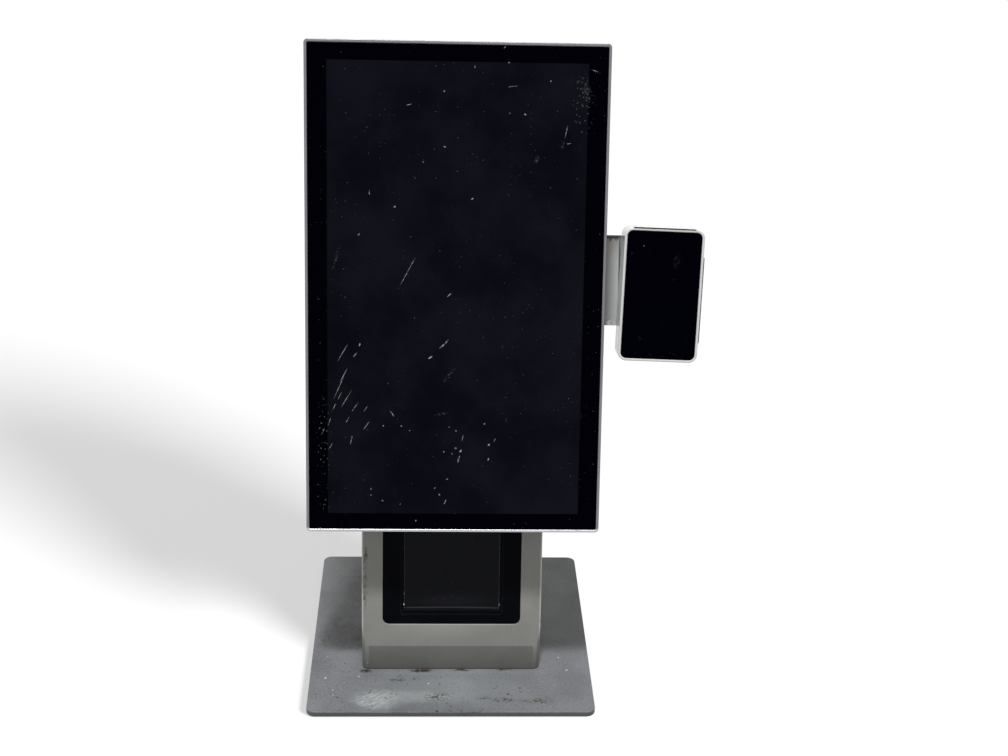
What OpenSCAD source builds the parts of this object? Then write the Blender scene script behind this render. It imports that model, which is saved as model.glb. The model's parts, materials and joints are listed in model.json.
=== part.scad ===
// Counter-top self-service kiosk: base plate, leaning pedestal with a receipt printer,
// portrait touch display and a payment terminal on a side bracket.
// Origin on the counter under the middle of the base plate, +X to the customer's right, +Y away, +Z up.

/* [Base] */
// Side of the square base plate
plate_side = 315; // [290:1:380]
// Thickness of the base plate
plate_t = 6; // [5:0.5:12]
// Corner radius of the base plate
plate_r = 10; // [2:0.5:25]
// Thickness of the rubber pad under the plate
pad_t = 1.5; // [1:0.25:5]
// Distance from the plate's edges to the pad's edges
pad_inset = 8; // [3:0.5:30]
// Thickness of the flange plate inside the pedestal's foot
flange_t = 4; // [3:0.5:8]
// Length of the flange plate from front to back
flange_l = 80; // [60:1:86]
// Distance from the flange plate's edges to its screws
flange_screw_inset = 16; // [10:1:25]
// Thread diameter of the screws between plate and pedestal
base_screw_d = 6; // [4:0.5:7]

/* [Pedestal] */
// Width of the pedestal
column_w = 200; // [190:1:230]
// Height of the face above the display mount
column_top = 20; // [8:1:60]
// Backward lean of the face and the display, in degrees
lean = 15; // [10:0.5:20]
// Height of the upright skirt under the crease
skirt_h = 31.5; // [26:0.5:50]
// Distance of the skirt behind the plate's front edge
skirt_setback = 78.5; // [60:0.5:90]
// Corner radius of the skirt
skirt_r = 8; // [4:0.5:14]
// Thickness of the pedestal's sheet steel
sheet_t = 2; // [1.5:0.1:3]
// Width of the folded lips that carry the rear cover
lip_w = 12; // [9:0.5:20]
// Room behind the printer for its board
board_room = 14; // [13:0.5:30]
// Thread diameter of the rear cover's screws
cover_screw_d = 4; // [3:0.5:5]
// Bore of the cable grommet
grommet_bore = 12; // [8:0.5:16]
// Width, depth and height of the power supply
supply_size = [40, 70, 150]; // [30:1:160]

/* [Printer panel] */
// Width of the black panel
panel_w = 154; // [146:1:176]
// Height of the black panel
panel_h = 132; // [126:1:150]
// Height of the panel's lower edge above the crease
panel_z = 25.5; // [20:0.5:34]
// Corner radius of the panel
panel_r = 7.5; // [3:0.5:12]
// Depth of the panel's front behind the pedestal's face
panel_sunk = 0.5; // [0.2:0.1:1]
// Width of the panel's rear flange beyond its window
panel_flange_w = 6; // [5:0.5:10]
// Thickness of the panel's rear flange
panel_flange_t = 2.5; // [2:0.25:4]
// Margin of the shallow frame round the door
frame_margin = 3.5; // [2:0.25:6]
// Depth of the shallow frame round the door
frame_depth = 0.6; // [0.2:0.1:1]
// Length of the bosses that carry the printer
boss_l = 7.5; // [7:0.5:14]
// Distance from the panel's sides to the bosses' axes
boss_inset = 5; // [4.5:0.1:6]

/* [Printer door] */
// Height of the door
door_h = 89; // [84:1:100]
// Height of the door's lower edge above the crease
door_z = 44; // [40:0.5:50]
// Thickness of the door's skin
door_skin = 2.5; // [2:0.25:3.5]
// Thickness of the hinge edge along the door's foot
barrel_t = 6; // [5.5:0.25:8]
// Height of the hinge edge along the door's foot
barrel_h = 6.4; // [5.5:0.1:9]
// Diameter of the hinge pin
pin_d = 3; // [2:0.25:3.5]
// Height of the paper exit above the door
slot_h = 8; // [7:0.25:10]
// Width of the lugs that hold the hinge pin
lug_w = 6.5; // [5:0.5:9]

/* [Printer mechanism] */
// Width of the receipt paper
paper_w = 80; // [76:1:84]
// Diameter of the full paper roll
roll_d = 66; // [50:1:72]
// Bore of the paper roll's core
core_bore = 12.7; // [10:0.1:16]
// Wall of the paper roll's core
core_wall = 2.2; // [1:0.1:4]
// Free space at each end of the roll
roll_side = 5; // [4.5:0.25:8]
// Wall of the printer's chassis
chassis_wall = 2.5; // [2:0.25:3]
// Diameter of the rubber platen
platen_d = 16; // [12:0.5:20]
// Diameter of the platen's shaft
platen_shaft_d = 6; // [4:0.5:8]
// Distance from the door's top to the platen's axis
platen_drop = 13; // [12:0.5:16]
// Tooth module of the gears
gear_module = 0.8; // [0.6:0.05:0.9]
// Teeth of the platen's gear
platen_teeth = 24; // [20:1:26]
// Teeth of the motor's pinion
pinion_teeth = 12; // [10:1:16]
// Face width of the gears
gear_w = 4; // [3:0.25:6]
// Diameter of the stepper motor
motor_d = 30; // [24:1:34]
// Length of the stepper motor
motor_l = 22; // [14:1:28]
// Diameter of the motor's shaft
motor_shaft_d = 3; // [2:0.25:4]
// Diameter of the feed button
feed_d = 7; // [5:0.25:8]
// Travel of the feed button
feed_travel = 1; // [0.5:0.1:1.5]

/* [Display] */
// Width of the display
display_w = 314; // [300:1:340]
// Height of the display
display_h = 517; // [508:1:560]
// Depth of the display from its front to its rear cover
display_t = 36; // [34:0.5:50]
// Outer corner radius of the display
display_r = 4; // [3.5:0.25:8]
// Width of the metal rim
rim_w = 3; // [2:0.25:3.25]
// Height of the display's lower edge above the crease
display_z = 146; // [142:1:180]
// Thickness of the cover glass
glass_t = 3; // [2:0.25:5]
// Depth of the glass behind the rim's front edge
glass_sunk = 0.4; // [0:0.1:1]
// Black border between the rim and the picture area, at the sides
border_side = 20.1; // [18:0.1:30]
// Black border between the rim and the picture area, at the top and the foot
border_end = 17.45; // [16:0.05:30]
// Border of the panel round the picture area
lcd_border = 7; // [4:0.5:8]
// Thickness of the panel module
lcd_t = 6; // [4:0.5:8]
// Width of the ledge behind the glass
ledge_w = 8; // [6:0.5:9]
// Thickness of the display's rear cover
cover_t = 1.5; // [1:0.1:2.5]
// Distance from the pedestal's face to the display's rear cover
mount_gap = 11; // [9:0.5:16]
// Distance of the mount's centre below the display's centre
mount_drop = 24; // [0:1:40]
// Screw spacing of the display mount
vesa = 100; // [75:25:100]
// Thickness of the display mount's sheet
mount_t = 3; // [2:0.25:4]
// Thread diameter of the display mount's screws
vesa_screw_d = 4; // [3:0.5:5]
// Side of the square main board
board_side = 170; // [140:1:190]
// Diameter of the power button
power_d = 10; // [8:0.5:14]
// Travel of the power button
power_travel = 1.2; // [0.5:0.1:2]

/* [Payment terminal] */
// Width of the terminal
term_w = 84.5; // [80:0.5:95]
// Height of the terminal
term_h = 141; // [134:1:160]
// Depth of the terminal
term_t = 32; // [28:0.5:40]
// Corner radius of the terminal
term_r = 9; // [7:0.5:14]
// Width of the white rim round the terminal's glass
term_rim = 3; // [2:0.25:4]
// Wall of the terminal's shells
term_wall = 2; // [1.5:0.25:3]
// Thickness of the terminal's glass
term_glass_t = 1.5; // [1:0.25:2.5]
// Depth of the terminal's front bezel
term_bezel_t = 6; // [5:0.5:8]
// Distance from the display's side to the terminal's side
term_gap = 17; // [12:0.25:40]
// Height of the terminal's centre above the display's centre
term_z = 0; // [-40:1:40]
// Turn of the terminal on its holder, clockwise from the front, in degrees
term_turn = 1.7; // [0:0.1:3]
// Thickness of the terminal's holder
holder_t = 4; // [3:0.25:8]
// Width and height of the terminal's holder
holder_size = [64, 104]; // [50:1:120]
// Height of the side bracket
bracket_h = 97; // [80:0.5:110]
// Height of the bracket's centre above the display's centre
bracket_z = 11; // [-20:1:20]
// Thickness of the side bracket
bracket_t = 3; // [2:0.25:4]
// Reach of the bracket behind the display's edge
bracket_lap = 52; // [45:1:56]
// Diameter of the terminal's power button
term_button_d = 8; // [6:0.25:9]
// Travel of the terminal's power button
term_travel = 0.8; // [0.4:0.1:1]

/* [Fits] */
// Gap round a panel or plate set in an opening
panel_fit = 0.3; // [0.2:0.05:0.5]
// Gap at the sides of the printer door
door_gap = 0.5; // [0.3:0.05:0.8]
// Radial clearance of a turning shaft
running_fit = 0.05; // [0.02:0.01:0.1]
// Radial clearance of a pressed or screwed piece
seat_fit = 0.05; // [0.02:0.01:0.1]
// Clearance of a button in its hole and of a stop at its end
button_fit = 0.3; // [0.2:0.05:0.5]
// Clearance of parts that swing or pass each other
swing_clear = 0.7; // [0.5:0.05:1]

/* [Hidden] */
$fn = 64;
cut = 1;

// Length of a screw past the sheet that it holds
screw_end = 4;

// Places of the pedestal
plate_top = pad_t + plate_t;
face_y = skirt_setback - plate_side / 2;
crease_z = plate_top + skirt_h;
flange_y = face_y + skirt_r + sheet_t;

// Places of the door, in the leaning frame of the face
door_front = panel_sunk;
door_back = door_front + door_skin;
door_top = door_z + door_h;
barrel_reach = norm([barrel_t / 2, barrel_h / 2]);
pivot = [door_front + barrel_t / 2, door_z + barrel_h / 2];
hinge_gap = barrel_reach - barrel_h / 2 + swing_clear;
opening_z0 = door_z - hinge_gap;
opening_z1 = door_top + slot_h;
panel_back = sheet_t + panel_flange_t;
chassis_y = panel_back + boss_l;

// Places of the printer, outwards from the paper
bucket_half = paper_w / 2 + roll_side;
wall_out = bucket_half + chassis_wall;
gear_x = wall_out + swing_clear;
motor_plate_x = gear_x + gear_w + swing_clear;
motor_x = motor_plate_x + chassis_wall;
opening_half = motor_plate_x + door_gap;
door_w = 2 * (opening_half - door_gap);
boss_d = 8;
boss_x = panel_w / 2 - boss_inset;
boss_bore_l = 6;
boss_screw_d = 3;
lower_boss_z = opening_z0 + 6;
upper_boss_z = opening_z1 + 1;
tab_h = 14;
lug_wall = 3;
lug_h = barrel_h + 4;

// Platen, print head and paper roll, from the door inwards
platen_gap = 4;
paper_gap = 0.4;
platen = [door_back + platen_gap + platen_d / 2, door_top - platen_drop];
ear_wall = 3;
ear_r = platen_shaft_d / 2 + ear_wall;
ear_t = roll_side - 2 * swing_clear;
head_y = platen[0] + platen_d / 2 + paper_gap;
head_t = 2;
head_sink_t = 4.6;
head_bracket_t = 2;
head_h = 20;
head_z = platen[1] - 14;
chip_strip_h = 14;
head_groove = [2, 1];
head_grooves = 9;
head_back = head_y + head_t + head_sink_t + head_bracket_t;
bucket_y0 = pivot[0] + barrel_reach + swing_clear;
roll_gap = 2;
floor_z = opening_z0 - chassis_wall;
roll = [head_back + roll_gap + roll_d / 2, floor_z + 3 * roll_gap + roll_d / 2];
bucket_y1 = roll[0] + roll_d / 2 + roll_gap;
bucket_top = max(door_top, roll[1] + roll_d / 2) - roll_gap;
column_d = bucket_y1 + chassis_wall + board_room + sheet_t;
pinion_turn = -15;
gear_backlash = 0.15;
gear_distance = gear_module * (platen_teeth + pinion_teeth) / 2 + gear_backlash;
pinion = platen + gear_distance * [cos(pinion_turn), sin(pinion_turn)];
motor_boss_d = 9;
motor_plate_margin = 3;
shaft_end = 1.5;
core_d = core_bore + 2 * core_wall;
hub_peg_d = 5;
hub_grip = 5;
hub_collar_w = 2.5;
hub_collar_t = 1.5;
tear_bar_size = [paper_w, 1.2, 6];
tear_teeth = 40;
tear_tooth_h = 1.5;

// Printer board and its parts, each with its place from the board's lower middle and its size
printer_board_size = [90, 70];
printer_board_parts = [[-14, 28, [22, 2, 22]], [26, 10, [18, 5, 8]], [24, 46, [12, 4, 12]]];
printer_standoff_d = 6;
printer_standoff_l = 4;
printer_standoff_inset = 5;
printer_board_y = bucket_y1 + chassis_wall + printer_standoff_l;
printer_board_z = roll[1] - printer_board_size[1] / 2;

// Feed button and status lens, between the door's opening and the bosses
feed_x = (opening_half + boss_x - boss_d / 2) / 2;
feed_z = opening_z1 - 0.5;
feed_proud = 0.9;
lens_d = 4;
button_rim_w = 1;
button_rim_t = 1.5;

// Places of the display, in the leaning frame
display_y = -mount_gap - display_t;
inner_w = display_w - 2 * rim_w;
inner_h = display_h - 2 * rim_w;
corner_ease = 0.5;
inner_r = display_r - rim_w + corner_ease;
active_w = inner_w - 2 * border_side;
active_h = inner_h - 2 * border_end;
glass_back = glass_sunk + glass_t;
ledge_back = glass_back + lcd_t;
inner_cover = display_t - cover_t;
rear_ledge_t = 2;
small_screw_d = 3;
small_screw_inset = rim_w + ledge_w / 2;
small_screw_rows = [0.06, 0.35, 0.65, 0.94];
mount_z = display_z + display_h / 2 - mount_drop;
mount_w = vesa + 30;
mount_h = vesa + 20;
mount_flange = 20;
mount_bolt_z = mount_h / 2 - 15;
column_h = mount_z + mount_h / 2 + column_top;

// Rear cover of the pedestal with its lips, vents and grommet
cover_z = foot_of(column_d) + swing_clear;
cover_h = column_h - sheet_t - panel_fit - cover_z;
cover_screw_x = column_w / 2 - sheet_t - lip_w / 2;
cover_screw_rows = [0.08, 0.5, 0.92];
lip_z = foot_of(column_d) + 2 * sheet_t;
louvre_size = [46, 3];
louvre_pitch = 9;
louvre_rows = 9;
louvre_drop = 60;
grommet_x = -column_w / 4;
grommet_z = cover_z + grommet_bore + 8;
grommet_neck = grommet_bore + 5;
grommet_flange = grommet_bore + 10;
grommet_lip = 2;

// Power supply on the pedestal's left wall
supply_ear = 10;
supply_ear_t = 1.5;
supply_y = (column_d - supply_size[1]) / 2;
supply_z = panel_z + panel_h + 3 * supply_ear;
supply_wall_x = sheet_t - column_w / 2;
supply_screw_d = 3;
supply_bite = 0.7 * sheet_t;
supply_slot = [1, 4];
supply_slots = 8;
supply_slot_inset = 8;

// What is inside the display
standoff_d = 7;
standoff_l = 6;
standoff_inset = 7;
plate_chassis_t = 1.2;
board_y = ledge_back + plate_chassis_t + standoff_l;
board_t = 1.6;
board_z = display_h / 2 + 62;
chip_size = [40, 2, 40];
memory_size = [8, 6, 110];
memory_x = 62;
ports_size = [90, 9, 16];
ports_z = 6;
sink_side = 80;
sink_base_t = 3;
sink_y = board_y + board_t + chip_size[1];
sink_gap = 2.3;
sink_depth = inner_cover - sink_gap - sink_y;
fin_t = 1.5;
fins = 12;
speaker_size = [70, 14, 32];
speaker_z = 20;
cone_d = 26;
cone_depth = 3;
vent_slot = [3, 36];
vent_pitch = 8;
vents_each_side = 10;
vent_inset = 62;
power_x = display_w / 2 - 40;
power_z = 60;
power_proud = 1.6;
cup_t = 2;
cup_l = 10;

// Places of the terminal
term_x = display_w / 2 + term_gap + term_w / 2;
term_y = -mount_gap - holder_t - term_t;
bracket_x0 = display_w / 2 - bracket_lap;
bracket_x1 = term_x + holder_size[0] / 2 - 6;
bracket_w = bracket_x1 - bracket_x0;
bracket_mid_z = display_z + display_h / 2 + bracket_z;
bracket_r = 3;
bracket_screw_d = 4;
holder_r = 5;
holder_screw_d = 3;
glass_fit = 0.15;
term_screen_side = 9;
term_screen_end = 12.75;
term_screen_t = 3;
term_board_y = term_bezel_t + 3;
post_d = 6;
post_inset = term_r + 3;
battery_size = [40, 8, 70];
card_slot = [66, 1.8];
card_slot_y = term_bezel_t + 1.5;
rail_size = [2.4, 12, 92];
rail_y = 9;
rail_z = -5;
term_button_y = term_bezel_t + 11;
term_button_z = term_h / 2 - term_r - 8;
term_button_proud = term_travel + 0.2;

// Paired positions
sides = [-1, 1];
corners = [for (sx = sides, sz = sides) [sx, sz]];

// Frames of the leaning face, the display and the terminal
module leaning() {
    translate([0, face_y, crease_z]) rotate([-lean, 0, 0]) children();
}

module on_display() {
    leaning() translate([0, display_y, display_z]) children();
}

module on_terminal() {
    on_display() translate([term_x, term_y - display_y, display_h / 2 + term_z])
        rotate([0, term_turn, 0]) children();
}

// Point of the leaning frame in the upright frame
function lean_at(y, z) = [
    face_y + y * cos(lean) + z * sin(lean),
    crease_z - y * sin(lean) + z * cos(lean)
];

// Height on the plane at depth y where that plane meets the base plate
function foot_of(y) = (plate_top - crease_z + y * sin(lean)) / cos(lean);

// Outline with round corners, standing on its lower edge
module rounded_rect(w, h, r) {
    translate([-w / 2, r]) square([w, h - 2 * r]);
    translate([r - w / 2, 0]) square([w - 2 * r, h]);
    for (x = [r - w / 2, w / 2 - r], y = [r, h - r]) translate([x, y]) circle(r);
}

// Flat piece in the plane of the face, from y = 0 inwards
module slab(t) {
    translate([0, t, 0]) rotate([90, 0, 0]) linear_extrude(t) children();
}

// Outline in the side plane, spread evenly about x = 0
module side_prism(w) {
    translate([-w / 2, 0, 0]) rotate([90, 0, 90]) linear_extrude(w) children();
}

// Rod along y from the origin, and rod along x from the origin
module rod_y(d, l) {
    rotate([-90, 0, 0]) cylinder(d = d, h = l);
}

module rod_x(d, l) {
    rotate([0, 90, 0]) cylinder(d = d, h = l);
}

// Block that is even about x = 0
module wide_block(w, d, h) {
    translate([-w / 2, 0, 0]) cube([w, d, h]);
}

// Screw that goes in along +y with its head in front of y = 0
function head_d(d) = 1.8 * d;
function head_l(d) = 0.6 * d;

module screw_y(d, l) {
    rod_y(d, l);
    translate([0, -head_l(d), 0]) rod_y(head_d(d), head_l(d));
}

// Spur gear in the side plane with its first tooth along +y; heights in modules, half widths in pitches
tooth_tip = 0.8;
tooth_root = 1.1;
tip_share = 0.1;
root_share = 0.32;

module gear(teeth, bore) {
    pitch_r = gear_module * teeth / 2;
    tip_r = pitch_r + tooth_tip * gear_module;
    root_r = pitch_r - tooth_root * gear_module;
    step = 360 / teeth;
    flanks = [[root_r, -root_share], [tip_r, -tip_share], [tip_r, tip_share], [root_r, root_share]];
    rotate([90, 0, 90]) linear_extrude(gear_w) difference() {
        polygon([for (i = [0:teeth - 1], p = flanks)
            p[0] * [cos((i + p[1]) * step), sin((i + p[1]) * step)]]);
        circle(d = bore);
    }
}

// Base

module at_base_screws() {
    for (x = sides, y = [0, 1])
        translate([x * (column_w / 2 - sheet_t - flange_screw_inset),
            flange_y + flange_screw_inset + y * (flange_l - 2 * flange_screw_inset), 0]) children();
}

module base_plate() {
    color("slategray") difference() {
        translate([0, -plate_side / 2, pad_t]) linear_extrude(plate_t)
            rounded_rect(plate_side, plate_side, plate_r);
        at_base_screws() {
            translate([0, 0, pad_t - cut]) cylinder(d = base_screw_d + 2 * seat_fit, h = plate_t + 2 * cut);
            translate([0, 0, pad_t - cut])
                cylinder(d = head_d(base_screw_d) + 2 * panel_fit, h = head_l(base_screw_d) + cut);
        }
    }
}

module base_pad() {
    pad_side = plate_side - 2 * pad_inset;
    color("dimgray") translate([0, -pad_side / 2, 0]) linear_extrude(pad_t)
        rounded_rect(pad_side, pad_side, plate_r);
}

module base_screws() {
    color("silver") at_base_screws() translate([0, 0, pad_t]) {
        cylinder(d = head_d(base_screw_d), h = head_l(base_screw_d));
        cylinder(d = base_screw_d, h = plate_t + flange_t);
    }
}

module pedestal_foot() {
    color("gray") difference() {
        translate([0, flange_y, plate_top])
            wide_block(column_w - 2 * sheet_t, flange_l, flange_t);
        at_base_screws() translate([0, 0, plate_top - cut])
            cylinder(d = base_screw_d + 2 * seat_fit, h = flange_t + 2 * cut);
    }
}

// Pedestal

// Upright block with round front corners that trims the skirt
module skirt_block(w, r) {
    linear_extrude(2 * column_h) {
        translate([-w / 2, r]) square([w, column_h]);
        translate([r - w / 2, 0]) square([w - 2 * r, column_h]);
        for (x = [r - w / 2, w / 2 - r]) translate([x, r]) circle(r);
    }
}

module at_cover_screws() {
    for (x = sides, k = cover_screw_rows)
        translate([x * cover_screw_x, column_d, cover_z + k * cover_h]) children();
}

module at_mount_bolts() {
    for (c = corners)
        translate([c[0] * (mount_w + mount_flange) / 2, 0, mount_z + c[1] * mount_bolt_z]) children();
}

module at_supply_screws() {
    for (y = [0.2, 0.8], z = [-supply_ear / 2, supply_size[2] + supply_ear / 2])
        translate([supply_wall_x, supply_y + y * supply_size[1], supply_z + z]) children();
}

module pedestal_shell() {
    outer = [
        [face_y, plate_top], [face_y, crease_z], lean_at(0, column_h),
        lean_at(column_d, column_h), lean_at(column_d, foot_of(column_d))
    ];
    inner = [
        [face_y + sheet_t, plate_top - cut], lean_at(sheet_t, sheet_t * tan(lean / 2)),
        lean_at(sheet_t, column_h - sheet_t), lean_at(column_d + cut, column_h - sheet_t),
        lean_at(column_d + cut, foot_of(column_d) - 2 * cut)
    ];
    color("silver") difference() {
        union() {
            difference() {
                intersection() {
                    side_prism(column_w) polygon(outer);
                    translate([0, face_y, 0]) skirt_block(column_w, skirt_r);
                }
                intersection() {
                    side_prism(column_w - 2 * sheet_t) polygon(inner);
                    translate([0, face_y + sheet_t, 0])
                        skirt_block(column_w - 2 * sheet_t, skirt_r - sheet_t);
                }
            }
            leaning() for (x = sides)
                translate([x * cover_screw_x - lip_w / 2, column_d - 2 * sheet_t, lip_z])
                    cube([lip_w, sheet_t, column_h - sheet_t - lip_z]);
        }
        leaning() {
            translate([0, -cut, panel_z]) slab(sheet_t + 2 * cut) rounded_rect(panel_w, panel_h, panel_r);
            at_cover_screws() translate([0, -2 * sheet_t - cut, 0])
                rod_y(cover_screw_d + 2 * seat_fit, 2 * sheet_t + 2 * cut);
            at_mount_bolts() translate([0, -cut, 0])
                rod_y(vesa_screw_d + 2 * seat_fit, sheet_t + 2 * cut);
            at_supply_screws() translate([-supply_bite - seat_fit, 0, 0])
                rod_x(supply_screw_d + 2 * seat_fit, supply_bite + seat_fit + cut);
        }
    }
}

module pedestal_rear_cover() {
    color("silver") leaning() difference() {
        translate([0, column_d - sheet_t, cover_z])
            wide_block(column_w - 2 * sheet_t - 2 * panel_fit, sheet_t, cover_h);
        at_cover_screws() translate([0, -sheet_t - cut, 0])
            rod_y(cover_screw_d + 2 * seat_fit, sheet_t + 2 * cut);
        for (x = sides, k = [1:louvre_rows])
            translate([x * column_w / 6, column_d - sheet_t - cut,
                cover_z + cover_h - louvre_drop - k * louvre_pitch])
                wide_block(louvre_size[0], sheet_t + 2 * cut, louvre_size[1]);
        translate([grommet_x, column_d - sheet_t - cut, grommet_z])
            rod_y(grommet_neck + 2 * seat_fit, sheet_t + 2 * cut);
    }
}

module rear_cover_screws() {
    color("dimgray") leaning() at_cover_screws() mirror([0, 1, 0])
        screw_y(cover_screw_d, 2 * sheet_t + screw_end);
}

module cable_grommet() {
    length = sheet_t + 2 * grommet_lip;
    color("black") leaning()
        translate([grommet_x, column_d - sheet_t - grommet_lip, grommet_z]) difference() {
            union() {
                rod_y(grommet_neck, length);
                for (y = [0, sheet_t + grommet_lip]) translate([0, y, 0]) rod_y(grommet_flange, grommet_lip);
            }
            translate([0, -cut, 0]) rod_y(grommet_bore, length + 2 * cut);
        }
}

module power_supply() {
    color("gainsboro") leaning() difference() {
        union() {
            translate([supply_wall_x, supply_y, supply_z]) cube(supply_size);
            translate([supply_wall_x, supply_y, supply_z - supply_ear])
                cube([supply_ear_t, supply_size[1], supply_size[2] + 2 * supply_ear]);
        }
        at_supply_screws() translate([-cut, 0, 0])
            rod_x(supply_screw_d + 2 * seat_fit, supply_ear_t + 2 * cut);
        for (k = [1:supply_slots])
            translate([supply_wall_x + supply_size[0] - supply_slot[0], supply_y + supply_slot_inset,
                supply_z + k * supply_size[2] / (supply_slots + 1)])
                cube([supply_slot[0] + cut, supply_size[1] - 2 * supply_slot_inset, supply_slot[1]]);
    }
}

module supply_screws() {
    color("silver") leaning() at_supply_screws() {
        translate([supply_ear_t, 0, 0]) rod_x(head_d(supply_screw_d), head_l(supply_screw_d));
        translate([-supply_bite, 0, 0]) rod_x(supply_screw_d, supply_bite + supply_ear_t);
    }
}

// Printer panel and door

module at_bosses() {
    for (x = sides, z = [lower_boss_z, upper_boss_z]) translate([x * boss_x, panel_back, z]) children();
}

module printer_bezel() {
    fit_w = panel_w - 2 * panel_fit;
    fit_h = panel_h - 2 * panel_fit;
    lug_back = pivot[0] + pin_d / 2 + lug_wall;
    frame_w = 2 * (opening_half + frame_margin - door_gap);
    color([0.07, 0.07, 0.08]) leaning() difference() {
        union() {
            translate([0, panel_sunk, panel_z + panel_fit])
                slab(panel_back - panel_sunk) rounded_rect(fit_w, fit_h, panel_r - panel_fit);
            translate([0, sheet_t, panel_z - panel_flange_w]) slab(panel_flange_t)
                rounded_rect(panel_w + 2 * panel_flange_w, panel_h + 2 * panel_flange_w, panel_r);
            for (x = sides) translate([x * (opening_half + lug_w / 2), panel_sunk + cut, opening_z0])
                wide_block(lug_w, lug_back - panel_sunk - cut, lug_h);
            at_bosses() rod_y(boss_d, boss_l);
        }
        translate([0, -cut, opening_z0])
            wide_block(2 * opening_half, panel_back + 2 * cut, opening_z1 - opening_z0);
        translate([0, -cut, door_z - 2 * frame_margin])
            wide_block(frame_w, panel_sunk + frame_depth + cut, opening_z1 - door_z + 3 * frame_margin);
        translate([-opening_half - lug_w - cut, pivot[0], pivot[1]])
            rod_x(pin_d + 2 * seat_fit, 2 * (opening_half + lug_w + cut));
        at_bosses() translate([0, boss_l - boss_bore_l, 0])
            rod_y(boss_screw_d + 2 * seat_fit, boss_bore_l + cut);
        translate([feed_x, -cut, feed_z]) rod_y(feed_d + 2 * button_fit, panel_back + 2 * cut);
        translate([-feed_x, -cut, feed_z]) rod_y(lens_d + 2 * seat_fit, panel_back + 2 * cut);
    }
}

module printer_door() {
    color([0.1, 0.1, 0.11]) leaning() difference() {
        union() {
            translate([0, door_front, door_z]) wide_block(door_w, door_skin, door_h);
            translate([0, door_front, door_z]) wide_block(door_w, barrel_t, barrel_h);
            for (x = sides) translate([x * (paper_w / 2 + roll_side / 2), 0, 0]) {
                translate([0, door_back, platen[1] - ear_r])
                    wide_block(ear_t, platen[0] - door_back, 2 * ear_r);
                translate([-ear_t / 2, platen[0], platen[1]]) rod_x(2 * ear_r, ear_t);
            }
        }
        translate([-door_w / 2 - cut, pivot[0], pivot[1]])
            rod_x(pin_d + 2 * running_fit, door_w + 2 * cut);
        translate([-bucket_half, platen[0], platen[1]])
            rod_x(platen_shaft_d + 2 * running_fit, 2 * bucket_half);
    }
}

module door_hinge_pin() {
    pin_half = opening_half + lug_w - swing_clear;
    color("silver") leaning() translate([-pin_half, pivot[0], pivot[1]]) rod_x(pin_d, 2 * pin_half);
}

module status_lens() {
    color("palegreen") leaning() translate([-feed_x, 0, feed_z]) {
        translate([0, panel_sunk, 0]) rod_y(lens_d, panel_back - panel_sunk + button_rim_t);
        translate([0, panel_back, 0]) rod_y(lens_d + 2 * button_rim_w, button_rim_t);
    }
}

module feed_button() {
    color([0.2, 0.2, 0.21]) leaning() translate([feed_x, 0, feed_z]) {
        translate([0, panel_sunk - feed_proud, 0])
            rod_y(feed_d, panel_back - panel_sunk + feed_proud + button_fit + button_rim_t);
        translate([0, panel_back + button_fit, 0]) rod_y(feed_d + 2 * button_rim_w, button_rim_t);
    }
}

module feed_switch() {
    switch_y = panel_back + 2 * button_fit + button_rim_t + feed_travel;
    color("black") leaning() translate([feed_x, switch_y, feed_z - feed_d / 2])
        wide_block(feed_d, chassis_y - switch_y, feed_d);
}

// Printer mechanism

module at_chassis_walls() {
    for (x = sides) translate([x * (bucket_half + chassis_wall / 2), 0, 0]) children();
}

module printer_chassis() {
    tab_w = boss_x + boss_d - bucket_half;
    floor_h = bucket_top - floor_z;
    plate_h = motor_d + 2 * motor_plate_margin;
    plate_back = pinion[0] + motor_d / 2 + chassis_wall;
    notch_z = platen[1] - platen_shaft_d / 2 - swing_clear;
    color([0.25, 0.26, 0.28]) leaning() difference() {
        union() {
            translate([0, bucket_y0, floor_z])
                wide_block(2 * wall_out, bucket_y1 + chassis_wall - bucket_y0, chassis_wall);
            translate([0, bucket_y1, floor_z]) wide_block(2 * wall_out, chassis_wall, floor_h);
            at_chassis_walls() {
                translate([0, bucket_y0, floor_z])
                    wide_block(chassis_wall, bucket_y1 - bucket_y0 + chassis_wall, floor_h);
                translate([0, chassis_y, bucket_top - tab_h])
                    wide_block(chassis_wall, tab_h, upper_boss_z + tab_h / 2 - bucket_top + tab_h);
            }
            for (x = sides, z = [lower_boss_z, upper_boss_z])
                translate([x * (bucket_half + tab_w / 2), chassis_y, z - tab_h / 2])
                    wide_block(tab_w, chassis_wall, tab_h);
            translate([motor_plate_x, bucket_y0, pinion[1] - plate_h / 2])
                cube([chassis_wall, plate_back - bucket_y0, plate_h]);
            translate([bucket_half, plate_back - chassis_wall, pinion[1] - plate_h / 2])
                cube([motor_x - bucket_half, chassis_wall, plate_h]);
        }
        translate([0, bucket_y0 - cut, notch_z])
            wide_block(2 * wall_out + cut, platen[0] + platen_shaft_d / 2 + swing_clear - bucket_y0 + cut,
                platen_shaft_d + 4 * swing_clear);
        translate([motor_plate_x - cut, pinion[0], pinion[1]])
            rod_x(motor_boss_d + 2 * panel_fit, chassis_wall + 2 * cut);
        translate([0, chassis_y - panel_back - cut, 0]) at_bosses()
            rod_y(boss_screw_d + 2 * seat_fit, chassis_wall + 2 * cut);
        at_chassis_walls() translate([-chassis_wall / 2 - cut, roll[0], roll[1]])
            rod_x(hub_peg_d + 2 * seat_fit, chassis_wall + 2 * cut);
    }
}

module chassis_screws() {
    color("silver") leaning() translate([0, boss_l + chassis_wall, 0]) at_bosses()
        mirror([0, 1, 0]) screw_y(boss_screw_d, chassis_wall + screw_end);
}

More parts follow.
